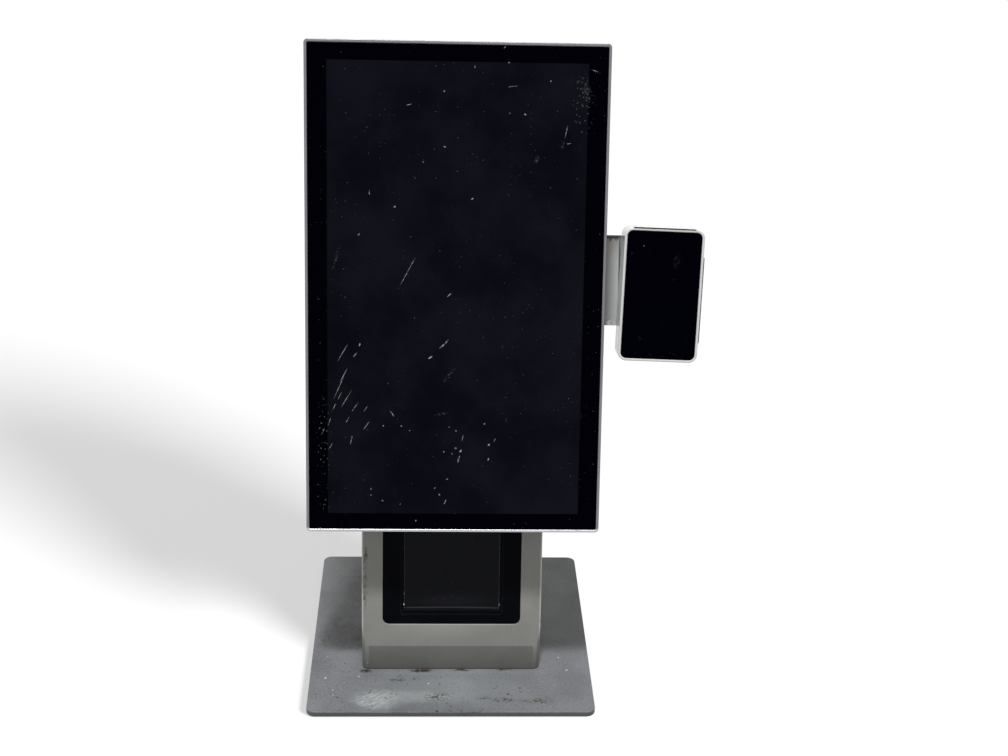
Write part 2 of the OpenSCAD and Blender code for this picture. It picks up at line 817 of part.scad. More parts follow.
module head_bracket() {
    color("lightsteelblue") leaning() translate([0, head_back - head_bracket_t, head_z])
        wide_block(2 * bucket_half, head_bracket_t, head_h);
}

module head_heat_sink() {
    groove_y = head_back - head_bracket_t - head_groove[1];
    color("silver") leaning() difference() {
        translate([0, head_y + head_t, head_z]) wide_block(paper_w + 4, head_sink_t, head_h);
        for (k = [1:head_grooves])
            translate([(k / (head_grooves + 1) - 0.5) * paper_w, groove_y, head_z - cut])
                wide_block(head_groove[0], head_groove[1] + cut, head_h + 2 * cut);
    }
}

module print_head() {
    color([0.45, 0.35, 0.25]) leaning() translate([0, head_y, head_z + (head_h - chip_strip_h) / 2])
        wide_block(paper_w + 2, head_t, chip_strip_h);
}

module tear_bar() {
    half = tear_bar_size[0] / 2;
    pitch = tear_bar_size[0] / tear_teeth;
    points = [for (i = [0:tear_teeth - 1], p = [[0, 0], [0.5, -tear_tooth_h]])
        [(i + p[0]) * pitch - half, p[1]]];
    color("silver") leaning() translate([0, panel_back, opening_z1]) slab(tear_bar_size[1])
        polygon(concat(points, [[half, 0], [half, tear_bar_size[2]], [-half, tear_bar_size[2]]]));
}

module platen_roller() {
    color([0.12, 0.12, 0.12]) leaning() translate([-paper_w / 2, platen[0], platen[1]]) difference() {
        rod_x(platen_d, paper_w);
        translate([-cut, 0, 0]) rod_x(platen_shaft_d + 2 * seat_fit, paper_w + 2 * cut);
    }
}

module platen_shaft() {
    left = wall_out + shaft_end;
    color("silver") leaning() translate([-left, platen[0], platen[1]])
        rod_x(platen_shaft_d, left + gear_x + gear_w);
}

module platen_gear() {
    color("ivory") leaning() translate([gear_x, platen[0], platen[1]])
        rotate([pinion_turn + 180 / platen_teeth, 0, 0])
            gear(platen_teeth, platen_shaft_d + 2 * seat_fit);
}

module stepper_motor() {
    color("dimgray") leaning() translate([motor_x, pinion[0], pinion[1]]) difference() {
        union() {
            rod_x(motor_d, motor_l);
            translate([-chassis_wall, 0, 0]) rod_x(motor_boss_d, chassis_wall);
        }
        translate([-chassis_wall - cut, 0, 0])
            rod_x(motor_shaft_d + 2 * running_fit, motor_l / 2 + chassis_wall + 2 * cut);
    }
}

module motor_shaft() {
    color("silver") leaning() translate([gear_x, pinion[0], pinion[1]])
        rod_x(motor_shaft_d, motor_x + motor_l / 2 - gear_x);
}

module motor_pinion() {
    color("goldenrod") leaning() translate([gear_x, pinion[0], pinion[1]])
        rotate([pinion_turn + 180 + (pinion_teeth % 2) * 180 / pinion_teeth, 0, 0])
            gear(pinion_teeth, motor_shaft_d + 2 * seat_fit);
}

module paper_roll() {
    color("white") leaning() translate([-paper_w / 2, roll[0], roll[1]]) difference() {
        rod_x(roll_d, paper_w);
        translate([-cut, 0, 0]) rod_x(core_d + 2 * seat_fit, paper_w + 2 * cut);
    }
}

module paper_core() {
    color("burlywood") leaning() translate([-paper_w / 2, roll[0], roll[1]]) difference() {
        rod_x(core_d, paper_w);
        translate([-cut, 0, 0]) rod_x(core_bore, paper_w + 2 * cut);
    }
}

module paper_hubs() {
    color("dimgray") leaning() for (x = sides) translate([x * bucket_half, roll[0], roll[1]])
        mirror([(x + 1) / 2, 0, 0]) {
            rod_x(core_bore - 2 * running_fit, roll_side + hub_grip);
            rod_x(core_d + 2 * hub_collar_w, hub_collar_t);
            translate([-chassis_wall, 0, 0]) rod_x(hub_peg_d, chassis_wall + cut);
        }
}

module printer_board() {
    color("darkgreen") leaning() translate([0, printer_board_y, printer_board_z]) {
        wide_block(printer_board_size[0], board_t, printer_board_size[1]);
        for (p = printer_board_parts)
            translate([p[0], board_t, p[1]]) wide_block(p[2][0], p[2][1], p[2][2]);
    }
}

module printer_standoffs() {
    color("goldenrod") leaning() for (c = corners)
        translate([c[0] * (printer_board_size[0] / 2 - printer_standoff_inset), bucket_y1 + chassis_wall,
            roll[1] + c[1] * (printer_board_size[1] / 2 - printer_standoff_inset)])
            rod_y(printer_standoff_d, printer_standoff_l);
}

// Display

// Sheet inside the display, drawn in by a margin from the rim's inner faces
module display_sheet(y, t, margin) {
    translate([0, y, rim_w + margin]) slab(t)
        rounded_rect(inner_w - 2 * margin, inner_h - 2 * margin, inner_r);
}

module display_frame() {
    color("silver") on_display() difference() {
        slab(display_t) rounded_rect(display_w, display_h, display_r);
        display_sheet(-cut, glass_back + cut, 0);
        display_sheet(0, display_t + cut, ledge_w);
        display_sheet(ledge_back, inner_cover - rear_ledge_t - ledge_back, 0);
        display_sheet(inner_cover, cover_t + cut, 0);
        at_display_screws() translate([0, -2 * rear_ledge_t, 0])
            rod_y(small_screw_d + 2 * seat_fit, 3 * rear_ledge_t);
    }
}

module at_display_screws() {
    for (x = sides, k = small_screw_rows)
        translate([x * (display_w / 2 - small_screw_inset), inner_cover, k * display_h]) children();
}

module cover_glass() {
    color([0.02, 0.02, 0.03]) on_display() display_sheet(glass_sunk, glass_t, panel_fit);
}

module lcd_panel() {
    color([0.08, 0.08, 0.1]) on_display()
        translate([0, glass_back, (display_h - active_h) / 2 - lcd_border])
            wide_block(active_w + 2 * lcd_border, lcd_t, active_h + 2 * lcd_border);
}

module panel_chassis() {
    color("lightgray") on_display() display_sheet(ledge_back, plate_chassis_t, panel_fit);
}

module main_board() {
    color("darkgreen") on_display() translate([0, board_y, board_z - board_side / 2]) {
        wide_block(board_side, board_t, board_side);
        translate([0, board_t, (board_side - chip_size[2]) / 2])
            wide_block(chip_size[0], chip_size[1], chip_size[2]);
        for (x = sides) translate([x * memory_x, board_t, (board_side - memory_size[2]) / 2])
            wide_block(memory_size[0], memory_size[1], memory_size[2]);
        translate([0, board_t, ports_z]) wide_block(ports_size[0], ports_size[1], ports_size[2]);
    }
}

module board_standoffs() {
    color("goldenrod") on_display() for (c = corners)
        translate([c[0] * (board_side / 2 - standoff_inset), ledge_back + plate_chassis_t,
            board_z + c[1] * (board_side / 2 - standoff_inset)]) rod_y(standoff_d, standoff_l);
}

module heat_sink() {
    color("gray") on_display() translate([0, sink_y, board_z - sink_side / 2]) {
        wide_block(sink_side, sink_base_t, sink_side);
        for (k = [0:fins - 1]) translate([(k + 0.5) * sink_side / fins - sink_side / 2, 0, 0])
            wide_block(fin_t, sink_depth, sink_side);
    }
}

module speakers() {
    color([0.15, 0.15, 0.16]) on_display() for (x = sides)
        translate([x * display_w / 4, ledge_back + plate_chassis_t, speaker_z]) difference() {
            wide_block(speaker_size[0], speaker_size[1], speaker_size[2]);
            translate([0, speaker_size[1] - cone_depth, speaker_size[2] / 2]) rod_y(cone_d, cone_depth + cut);
        }
}

module at_vesa() {
    for (c = corners) translate([c[0] * vesa / 2, 0, mount_z + c[1] * vesa / 2]) children();
}

module at_bracket_screws() {
    for (x = [0.25, 0.75], z = sides)
        translate([bracket_x0 + x * bracket_lap, -mount_gap, bracket_mid_z + z * bracket_h / 3]) children();
}

module display_rear_cover() {
    color([0.2, 0.2, 0.21]) difference() {
        on_display() difference() {
            display_sheet(inner_cover, cover_t, panel_fit);
            at_display_screws() translate([0, -cut, 0])
                rod_y(small_screw_d + 2 * seat_fit, cover_t + 2 * cut);
            for (k = [-vents_each_side:vents_each_side], z = [vent_inset, display_h - vent_inset])
                translate([k * vent_pitch, inner_cover - cut, z - vent_slot[1] / 2])
                    wide_block(vent_slot[0], cover_t + 2 * cut, vent_slot[1]);
            translate([power_x, inner_cover - cut, power_z])
                rod_y(power_d + 2 * button_fit, cover_t + 2 * cut);
        }
        leaning() at_vesa() translate([0, -mount_gap - cover_t - cut, 0])
            rod_y(vesa_screw_d + 2 * seat_fit, cover_t + 2 * cut);
        leaning() at_bracket_screws() translate([0, -cover_t - cut, 0])
            rod_y(bracket_screw_d + 2 * seat_fit, cover_t + 2 * cut);
    }
}

module display_cover_screws() {
    color("silver") on_display() translate([0, cover_t, 0]) at_display_screws()
        mirror([0, 1, 0]) screw_y(small_screw_d, cover_t + rear_ledge_t);
}

module power_switch() {
    bore = power_d + 2 * button_fit;
    color("black") on_display() translate([power_x, inner_cover - cup_l, power_z]) difference() {
        rod_y(bore + 2 * cup_t, cup_l);
        translate([0, cup_t, 0]) rod_y(bore, cup_l);
    }
}

module power_button() {
    rest_l = cup_l - cup_t - power_travel - button_fit + cover_t + power_proud;
    color("gray") on_display() translate([power_x, display_t + power_proud - rest_l, power_z])
        rod_y(power_d, rest_l);
}

module display_mount() {
    color([0.3, 0.3, 0.32]) leaning() difference() {
        translate([0, -mount_gap, mount_z - mount_h / 2]) union() {
            wide_block(mount_w, mount_t, mount_h);
            for (x = sides) {
                translate([x * (mount_w - mount_t) / 2, 0, 0]) wide_block(mount_t, mount_gap, mount_h);
                translate([x * (mount_w + mount_flange - mount_t) / 2, mount_gap - mount_t, 0])
                    wide_block(mount_flange + mount_t, mount_t, mount_h);
            }
        }
        at_vesa() translate([0, -mount_gap - cut, 0])
            rod_y(vesa_screw_d + 2 * seat_fit, mount_t + 2 * cut);
        at_mount_bolts() translate([0, -mount_t - cut, 0])
            rod_y(vesa_screw_d + 2 * seat_fit, mount_t + 2 * cut);
    }
}

module mount_bolts() {
    color("silver") leaning() at_mount_bolts() translate([0, -mount_t, 0])
        screw_y(vesa_screw_d, mount_t + sheet_t + screw_end);
}

module vesa_screws() {
    color("silver") leaning() at_vesa() translate([0, mount_t - mount_gap, 0])
        mirror([0, 1, 0]) screw_y(vesa_screw_d, mount_t + cover_t + screw_end);
}

// Payment terminal

module at_holder_screws() {
    for (c = corners) translate([c[0] * holder_size[0] / 4, term_t, c[1] * holder_size[1] / 4]) children();
}

module terminal_bracket() {
    color("silver") difference() {
        leaning() translate([bracket_x0 + bracket_w / 2, -mount_gap, bracket_mid_z - bracket_h / 2])
            slab(bracket_t) rounded_rect(bracket_w, bracket_h, bracket_r);
        leaning() at_bracket_screws() translate([0, -cut, 0])
            rod_y(bracket_screw_d + 2 * seat_fit, bracket_t + 2 * cut);
        on_terminal() at_holder_screws() translate([0, holder_t - cut, 0])
            rod_y(holder_screw_d + 2 * seat_fit, bracket_t + 2 * cut);
    }
}

module bracket_screws() {
    color("silver") leaning() at_bracket_screws() translate([0, bracket_t, 0])
        mirror([0, 1, 0]) screw_y(bracket_screw_d, bracket_t + cover_t + screw_end);
}

module terminal_holder() {
    color([0.12, 0.12, 0.13]) on_terminal() difference() {
        translate([0, term_t, -holder_size[1] / 2]) slab(holder_t)
            rounded_rect(holder_size[0], holder_size[1], holder_r);
        at_holder_screws() translate([0, holder_t / 4, 0]) rod_y(holder_screw_d + 2 * seat_fit, holder_t);
    }
}

module holder_screws() {
    color("silver") on_terminal() at_holder_screws() translate([0, holder_t + bracket_t, 0])
        mirror([0, 1, 0]) screw_y(holder_screw_d, bracket_t + holder_t / 2);
}

// Sheet of the terminal, drawn in by a margin from its outline
module terminal_sheet(y, t, margin) {
    translate([0, y, margin - term_h / 2]) slab(t)
        rounded_rect(term_w - 2 * margin, term_h - 2 * margin, term_r - margin);
}

module terminal_front_bezel() {
    color("white") on_terminal() difference() {
        terminal_sheet(0, term_bezel_t, 0);
        terminal_sheet(-cut, term_glass_t + cut, term_rim - glass_fit);
        terminal_sheet(-cut, term_bezel_t + 2 * cut, 2 * term_rim);
    }
}

module terminal_glass() {
    color([0.02, 0.02, 0.03]) on_terminal() terminal_sheet(0, term_glass_t, term_rim);
}

module terminal_display() {
    color([0.08, 0.08, 0.1]) on_terminal() translate([0, term_glass_t, term_screen_end - term_h / 2])
        wide_block(term_w - 2 * term_screen_side, term_screen_t, term_h - 2 * term_screen_end);
}

module at_terminal_posts() {
    for (c = corners) translate([c[0] * (term_w / 2 - post_inset), term_board_y + board_t,
        c[1] * (term_h / 2 - post_inset)]) children();
}

module terminal_board() {
    color("darkgreen") on_terminal() translate([0, term_board_y, term_r - term_h / 2])
        wide_block(term_w - 2 * term_r, board_t, term_h - 2 * term_r);
}

module terminal_battery() {
    color("lightgray") on_terminal()
        translate([0, term_t - term_wall - battery_size[1], -battery_size[2] / 2])
            wide_block(battery_size[0], battery_size[1], battery_size[2]);
}

module terminal_back_shell() {
    color("white") on_terminal() difference() {
        union() {
            difference() {
                terminal_sheet(term_bezel_t, term_t - term_bezel_t, 0);
                terminal_sheet(term_bezel_t - cut, term_t - term_bezel_t - term_wall + cut, term_wall);
            }
            at_terminal_posts() rod_y(post_d, term_t - term_board_y - board_t - term_wall / 2);
        }
        translate([0, card_slot_y, term_h / 2 - term_wall - cut])
            wide_block(card_slot[0], card_slot[1], term_wall + 2 * cut);
        translate([term_w / 2 - term_wall - cut, term_button_y, term_button_z])
            rod_x(term_button_d + 2 * button_fit, term_wall + 2 * cut);
    }
}

module swipe_rail() {
    color([0.25, 0.25, 0.26]) on_terminal()
        translate([term_w / 2, rail_y, rail_z - rail_size[2] / 2]) cube(rail_size);
}

module terminal_button() {
    inner_x = term_w / 2 - term_wall - button_fit - button_rim_t;
    color("lightgray") on_terminal() translate([inner_x, term_button_y, term_button_z]) {
        rod_x(term_button_d, button_rim_t + button_fit + term_wall + term_button_proud);
        rod_x(term_button_d + 2 * button_rim_w, button_rim_t);
    }
}

base_plate();
base_pad();
base_screws();
pedestal_foot();
pedestal_shell();
pedestal_rear_cover();
rear_cover_screws();
cable_grommet();
power_supply();
supply_screws();
printer_bezel();
printer_door();
door_hinge_pin();
printer_chassis();
chassis_screws();
head_bracket();
print_head();
head_heat_sink();
tear_bar();
platen_roller();
platen_shaft();
platen_gear();
stepper_motor();
motor_shaft();
motor_pinion();
paper_roll();
paper_core();
paper_hubs();
printer_board();
printer_standoffs();
feed_button();
feed_switch();
status_lens();
display_frame();
cover_glass();
lcd_panel();
panel_chassis();
main_board();
board_standoffs();
heat_sink();
speakers();
display_rear_cover();
display_cover_screws();
power_switch();
power_button();
display_mount();
mount_bolts();
vesa_screws();
terminal_bracket();
bracket_screws();
terminal_holder();
holder_screws();
terminal_front_bezel();
terminal_glass();
terminal_display();
terminal_board();
terminal_battery();
terminal_back_shell();
swipe_rail();
terminal_button();
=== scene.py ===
# %% [markdown]
# # A counter-top self-service kiosk
# The kiosk stands on a square painted steel plate. A leaning sheet-metal pedestal holds a receipt
# printer behind a black panel, carries a tall touch display, and the display carries a card terminal
# on a side bracket. The CAD frame already has every piece in its place, so this lesson makes the
# surfaces: edges that catch the light, glass, paint, wear, a camera and a plain white studio.

# %% Load the CAD frame
import json
from math import pi, radians
import bmesh
import bpy
from mathutils import Matrix, Vector

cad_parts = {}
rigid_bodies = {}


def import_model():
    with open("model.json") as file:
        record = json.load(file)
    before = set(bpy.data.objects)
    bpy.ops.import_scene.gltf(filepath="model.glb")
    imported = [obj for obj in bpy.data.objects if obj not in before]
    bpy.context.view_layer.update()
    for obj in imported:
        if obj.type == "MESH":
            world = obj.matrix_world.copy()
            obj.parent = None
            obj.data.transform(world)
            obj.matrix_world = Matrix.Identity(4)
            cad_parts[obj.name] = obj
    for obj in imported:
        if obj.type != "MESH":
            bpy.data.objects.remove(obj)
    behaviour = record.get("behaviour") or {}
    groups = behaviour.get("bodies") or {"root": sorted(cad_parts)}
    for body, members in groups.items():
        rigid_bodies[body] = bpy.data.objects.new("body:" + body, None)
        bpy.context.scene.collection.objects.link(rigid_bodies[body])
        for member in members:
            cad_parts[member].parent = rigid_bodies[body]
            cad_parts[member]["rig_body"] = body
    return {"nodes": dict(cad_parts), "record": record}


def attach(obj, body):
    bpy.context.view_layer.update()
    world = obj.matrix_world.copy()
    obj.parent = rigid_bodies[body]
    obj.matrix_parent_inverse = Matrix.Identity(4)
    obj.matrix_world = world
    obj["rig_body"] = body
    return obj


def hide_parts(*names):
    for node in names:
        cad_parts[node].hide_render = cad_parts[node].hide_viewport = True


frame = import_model()
NODES = frame["nodes"]
SLOT_OF = {part["node"]: part["material_slot"] for part in frame["record"]["subparts"]}
BODY_OF = {name: node["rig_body"] for name, node in NODES.items()}
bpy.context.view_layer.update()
MM = 0.001

# %% [markdown]
# ## Turned frames
# The pedestal's face and the display lean back, and the terminal hangs slightly turned on its holder.
# Measuring and modelling are easier when a piece stands square, so each piece is made in its own
# upright frame and then turned into place. Two more frames lay a drawing plane on the leaning fronts,
# with the first axis to the right and the second axis up, which is handy for patterns.

# %% Frames of the leaning pieces
LEAN = radians(15)
TERMINAL_TURN = radians(1.7)
UPRIGHT = Matrix.Identity(4)
LEANING = Matrix.Rotation(-LEAN, 4, "X")
TERMINAL = LEANING @ Matrix.Rotation(TERMINAL_TURN, 4, "Y")
FACE_ON = Matrix.Rotation(radians(90), 4, "X")
FRONT_PLANE = LEANING @ FACE_ON
TERMINAL_PLANE = TERMINAL @ FACE_ON
# The crease is where the pedestal's leaning face meets its upright skirt.
CREASE_FRONT = -79
CREASE_HEIGHT = 39
CREASE = FRONT_PLANE.inverted() @ (Vector((0, CREASE_FRONT, CREASE_HEIGHT)) * MM)


def span(node, turn=LEANING):
    """Lowest and highest corner of a CAD node, measured in a turned frame."""
    back = turn.inverted()
    points = [back @ v.co for v in NODES[node].data.vertices]
    low = Vector([min(p[i] for p in points) for i in range(3)])
    high = Vector([max(p[i] for p in points) for i in range(3)])
    return low, high


def centre(node, turn):
    low, high = span(node, turn)
    return (low + high) / 2


print("cover glass in mm:", [round(x / MM, 1) for x in span("cover_glass")[1] - span("cover_glass")[0]])

# %% [markdown]
# ## Camera
# The camera stands in front, a little left of the middle, above the display's top, and looks down.
# Its place, turn and lens were found by matching the corners of the display and of the plate.

# %% Camera
CAMERA_PLACE = Vector((-22.32, -1555.05, 1083.87)) * MM
CAMERA_YAW = radians(2.8159)
CAMERA_PITCH = radians(25.6876)
CAMERA_ROLL = radians(1.7217)
SENSOR = 36.0
IMAGE_WIDTH = 1008
FOCAL_PIXELS = 1588.89

bpy.ops.object.select_all(action="DESELECT")
bpy.ops.object.camera_add()
camera = bpy.context.object
camera.name = "front_camera"
camera.data.sensor_width = SENSOR
camera.data.lens = SENSOR * FOCAL_PIXELS / IMAGE_WIDTH
camera.matrix_world = (
    Matrix.Translation(CAMERA_PLACE)
    @ Matrix.Rotation(-CAMERA_YAW, 4, "Z")
    @ Matrix.Rotation(radians(90) - CAMERA_PITCH, 4, "X")
    @ Matrix.Rotation(CAMERA_ROLL, 4, "Z")
)
bpy.context.scene.camera = camera
bpy.context.scene.view_settings.view_transform = "Standard"
print("lens in mm:", round(camera.data.lens, 2))

# %% [markdown]
# ## Building finishes
# Every finish is a small node tree. One helper turns a hex colour into the linear values that Blender
# works in, and one adds a node, sets it and links it. The rest are recipes that come back in many
# finishes: coordinates in millimetres, blotches, specks, soft areas, worn edges and a layer on a layer.

# %% Helpers for node trees
FINISH = {}


def colour(code):
    """Linear colour of an sRGB hex code."""
    parts = [int(code[i : i + 2], 16) / 255 for i in (1, 3, 5)]
    linear = [c / 12.92 if c <= 0.04045 else ((c + 0.055) / 1.055) ** 2.4 for c in parts]
    return (*linear, 1)


def add(tree, kind, inputs=None, **settings):
    """Add a shader node with its settings, and fill its sockets with values or with other nodes."""
    node = tree.nodes.new("ShaderNode" + kind)
    for name, value in settings.items():
        setattr(node, name, value)
    for key, value in (inputs or {}).items():
        if isinstance(value, bpy.types.Node):
            value = next(s for s in value.outputs if s.enabled)
        if isinstance(value, bpy.types.NodeSocket):
            tree.links.new(value, node.inputs[key])
        else:
            node.inputs[key].default_value = value
    return node


def place(tree, plane=UPRIGHT, origin=(0, 0, 0)):
    """Object coordinates in millimetres, laid along a plane, from an origin given in that plane."""
    coords = add(tree, "TexCoord").outputs["Object"]
    lay = {"Rotation": plane.inverted().to_euler(), "Location": [-x / MM for x in origin]}
    return add(tree, "Mapping", {"Vector": coords, "Scale": [1 / MM] * 3, **lay})


def empty_tree(owner):
    """The node tree of a new material or world, with nothing in it."""
    owner.use_nodes = True
    owner.node_tree.nodes.clear()
    return owner.node_tree


def start_finish(name, slot, *laid):
    """A new material under a slot's name. What comes back is its place, and every recipe builds on it."""
    FINISH[slot] = bpy.data.materials.new(name)
    return place(empty_tree(FINISH[slot]), *laid)


def end_finish(slot, tone, rough, skin, more):
    """Close a finish with its colour, its roughness, its bumps and what else its shader needs."""
    surface = {"Base Color": tone, "Roughness": rough, **more}
    if skin:
        surface["Normal"] = skin
    tree = tone.id_data
    add(tree, "OutputMaterial", {"Surface": add(tree, "BsdfPrincipled", surface)})
    print("finish:", FINISH[slot].name, "with", len(tree.nodes), "nodes")


print("node helpers ready")

# %% Recipes for patterns
THROUGH = 1e6


def blotches(where, size, start, end, low=0.0, high=1.0, detail=4.0):
    """Cloudy pattern about one size across in millimetres, ramped between two levels."""
    tree = where.id_data
    cloud = add(tree, "TexNoise", {"Vector": where, "Scale": 1 / size, "Detail": detail, "Roughness": 0.6})
    ends = {0: cloud, 1: start, 2: end, 3: low, 4: high}
    return add(tree, "MapRange", ends, interpolation_type="SMOOTHSTEP")


def stretched(where, angle, along, across):
    """Coordinates that are turned in the plane and drawn out, for scratches and brush marks."""
    tree = where.id_data
    turned = add(tree, "Mapping", {"Vector": where, "Rotation": (0, 0, -radians(angle))})
    return add(tree, "Mapping", {"Vector": turned, "Scale": (1 / along, 1 / across, 1 / across)})


def specks(where, spacing, size, share):
    """Spots: one place in each cell of a Voronoi pattern, kept in only a share of the cells."""
    tree = where.id_data
    cells = add(tree, "TexVoronoi", {"Vector": where, "Scale": 1 / spacing}, voronoi_dimensions="2D")
    chance = add(tree, "SeparateColor", {0: cells.outputs["Color"]}).outputs[0]
    reach = size / 2 / spacing
    ends = {0: cells.outputs["Distance"], 1: reach, 2: reach / 2}
    spot = add(tree, "MapRange", ends, interpolation_type="SMOOTHSTEP")
    kept = add(tree, "Math", {0: chance, 1: share}, operation="LESS_THAN")
    return add(tree, "Math", {0: spot, 1: kept}, operation="MULTIPLY")


def ovals(where, shapes, start=1.3, end=0.4):
    """Ovals through a piece: middle, two half widths in mm and a turn in degrees; 1 inside, 0 outside."""
    tree, total = where.id_data, None
    for across, up, half_across, half_up, *turn in shapes:
        local = {"Vector": where, "Location": (across, up, 0), "Scale": (half_across, half_up, THROUGH)}
        local["Rotation"] = (0, 0, radians(turn[0] if turn else 0))
        local = add(tree, "Mapping", local, vector_type="TEXTURE")
        length = add(tree, "VectorMath", {0: local}, operation="LENGTH").outputs["Value"]
        ends = {0: length, 1: start, 2: end}
        oval = add(tree, "MapRange", ends, interpolation_type="SMOOTHSTEP")
        total = oval if total is None else add(tree, "Math", {0: total, 1: oval}, operation="MAXIMUM")
    return total


def wobbled(where, size, amount):
    """Coordinates pushed about by a noise, so that shapes drawn on them get uneven outlines."""
    tree = where.id_data
    noise = add(tree, "TexNoise", {"Vector": where, "Scale": 1 / size, "Detail": 3}).outputs["Color"]
    push = add(tree, "VectorMath", {0: noise, 1: (0.5, 0.5, 0.5)}, operation="SUBTRACT")
    return add(tree, "VectorMath", {0: push, 1: [2 * amount] * 3, 2: where}, operation="MULTIPLY_ADD")


print("pattern recipes ready")

# %% Recipes for masks and layers
def meet(*masks):
    """Only where all of the masks show."""
    total = masks[0]
    for mask in masks[1:]:
        total = add(mask.id_data, "Math", {0: total, 1: mask}, operation="MULTIPLY", use_clamp=True)
    return total


def layer(under, mask, code, strength=1.0):
    """A colour laid over another where a mask shows it."""
    tree = mask.id_data
    amount = add(tree, "Math", {0: mask, 1: strength}, operation="MULTIPLY", use_clamp=True)
    return add(tree, "Mix", {0: amount, 6: under, 7: colour(code)}, data_type="RGBA")


def layers(tone, *sheets):
    """Colours laid over a tone, one after another: each a mask, a colour and a strength."""
    for sheet in sheets:
        tone = layer(tone, *sheet)
    return tone


def edges(where, reach):
    """Line along edges, found where a normal rounded over the edge leaves the flat one."""
    tree = where.id_data
    rounded = add(tree, "Bevel", {"Radius": reach * MM}, samples=4)
    flat = add(tree, "NewGeometry").outputs["Normal"]
    turn = add(tree, "VectorMath", {0: rounded, 1: flat}, operation="DOT_PRODUCT").outputs["Value"]
    return add(tree, "MapRange", {0: turn, 1: 0.99, 2: 0.9})


def worn_edges(where, reach, size):
    """The same line, broken up as wear is."""
    return meet(edges(where, reach), blotches(where, size, 0.45, 0.62))


def gradient(where, axis, start, end):
    """0 before one place on an axis of the coordinates and 1 after another."""
    tree = where.id_data
    level = add(tree, "SeparateXYZ", {0: where}).outputs[axis]
    return add(tree, "MapRange", {0: level, 1: start, 2: end})


print("mask and layer recipes ready")

# %% Recipes for tone, sheen and bumps
def mottled(where, size, dark, light, start=0.3, end=0.7):
    """Two tones of one colour that drift into each other."""
    clouds = blotches(where, size, start, end)
    tones = {0: clouds, 6: colour(dark), 7: colour(light)}
    return add(where.id_data, "Mix", tones, data_type="RGBA")


def drifting(where, size, low, high):
    """A roughness that drifts between two values."""
    return blotches(where, size, 0.3, 0.7, low, high)


def bumps(where, size, strength, height, detail=2):
    """Fine unevenness: a noise about one size across that lifts the surface, both in millimetres."""
    tree = where.id_data
    noise = add(tree, "TexNoise", {"Vector": where, "Scale": 1 / size, "Detail": detail})
    return add(tree, "Bump", {"Height": noise, "Strength": strength, "Distance": height * MM})


print("tone, sheen and bump recipes ready")

# %% [markdown]
# ## Painted steel
# The base plate is cut from steel plate and powder coated. Its colour could be one grey with a noise on
# it, but years on a counter have left scuffs, a dull film, dried dirt, rust along the pedestal's foot and
# chips. Each of those is a mask over the paint, drawn as loose ovals at its real place and broken up by a
# finer pattern, because an even mark looks printed.

# %% Powder coat of the base plate
PLATE_TOP = span("base_plate", UPRIGHT)[1].z / MM
# Powder coat: dry powder melts in an oven into a tough skin. The eye sees a satin grey with a faint
# orange peel, about a millimetre and a half from bump to bump.
where = start_finish("powder_coated_steel", "plate_paint")
loose = wobbled(where, 14, 7)
film_and_shade = ovals(loose, [(-108, 70, 18, 66), (-121, 4, 29, 44), (-116, -36, 24, 8)], 1.2, 0.5)
tone = layers(
    mottled(where, 60, "#6c6e71", "#7d7f84", 0.35, 0.7),
    (blotches(where, 1.5, 0.5, 0.72, detail=2), "#a4a6a9", 0.5),
    (blotches(where, 2.4, 0.48, 0.72, detail=3), "#4c4d51", 0.5),
    # Paler front: a painted highlight of the lamp's glare over rubbed paint, paler in the middle and most
    # of all before the pedestal's foot.
    (ovals(loose, [(0, -112, 95, 40), (0, -86, 98, 7)], 1.4, 0.2), "#aab0b2", 0.32),
    (ovals(loose, [(138, -112, 28, 42), (-154, -40, 14, 90)], 1.4, 0.2), "#54555a", 0.24),
    # Film: a dull dark layer beside the pedestal, with dark grit in it; it also deepens the display's
    # shadow there as painted shade.
    (meet(film_and_shade, blotches(where, 11, 0.32, 0.64, low=0.35, detail=6)), "#3a3b34", 0.62),
    (meet(film_and_shade, specks(loose, 4.5, 1.9, 0.35)), "#20211c", 0.75),
    # Painted shade: darker behind the pedestal on both sides, where the display's shadow falls.
    (ovals(loose, [(-125, 110, 60, 75), (130, 60, 60, 110)]), "#54554f", 0.4),
)
print("paint on the plate at", round(PLATE_TOP, 1), "mm")

# %% Wear on the base plate
smears = [
    (57, -136, 14, 4), (95, -137, 20, 4), (35, -132, 8, 3), (-14, -130, 16, 8), (-52, -100, 20, 5),
    (-120, -84.5, 11, 1.2), (-125, -131, 2, 1.3), (12, -155.5, 26, 1.6), (-146, -22, 9, 17),
]
rusty = [(-97, -83, 8, 4), (-33, -82, 13, 3.5), (12, -81, 9, 2), (60, -80, 9, 1.4), (-15.5, -156, 2.6, 2)]
flecks = [
    (-140, -96, 1.4, 1.0), (-103, -93, 1, 0.7), (131, -81, 1.3, 0.9), (123, -57, 1, 0.8),
    (-25, -106, 1.2, 0.8), (-119, -105, 0.7, 0.5), (-130.5, -118, 0.5, 1.4), (-129.8, -127, 0.5, 1.0),
    (-140, -56, 0.8, 0.5),
]
streaks = blotches(stretched(where, 40, 5, 1), 1.8, 0.36, 0.7, detail=6)
grains = {0: specks(loose, 6, 1.5, 0.3), 1: specks(loose, 15, 2.8, 0.25)}
grit = add(where.id_data, "Math", grains, operation="MAXIMUM")
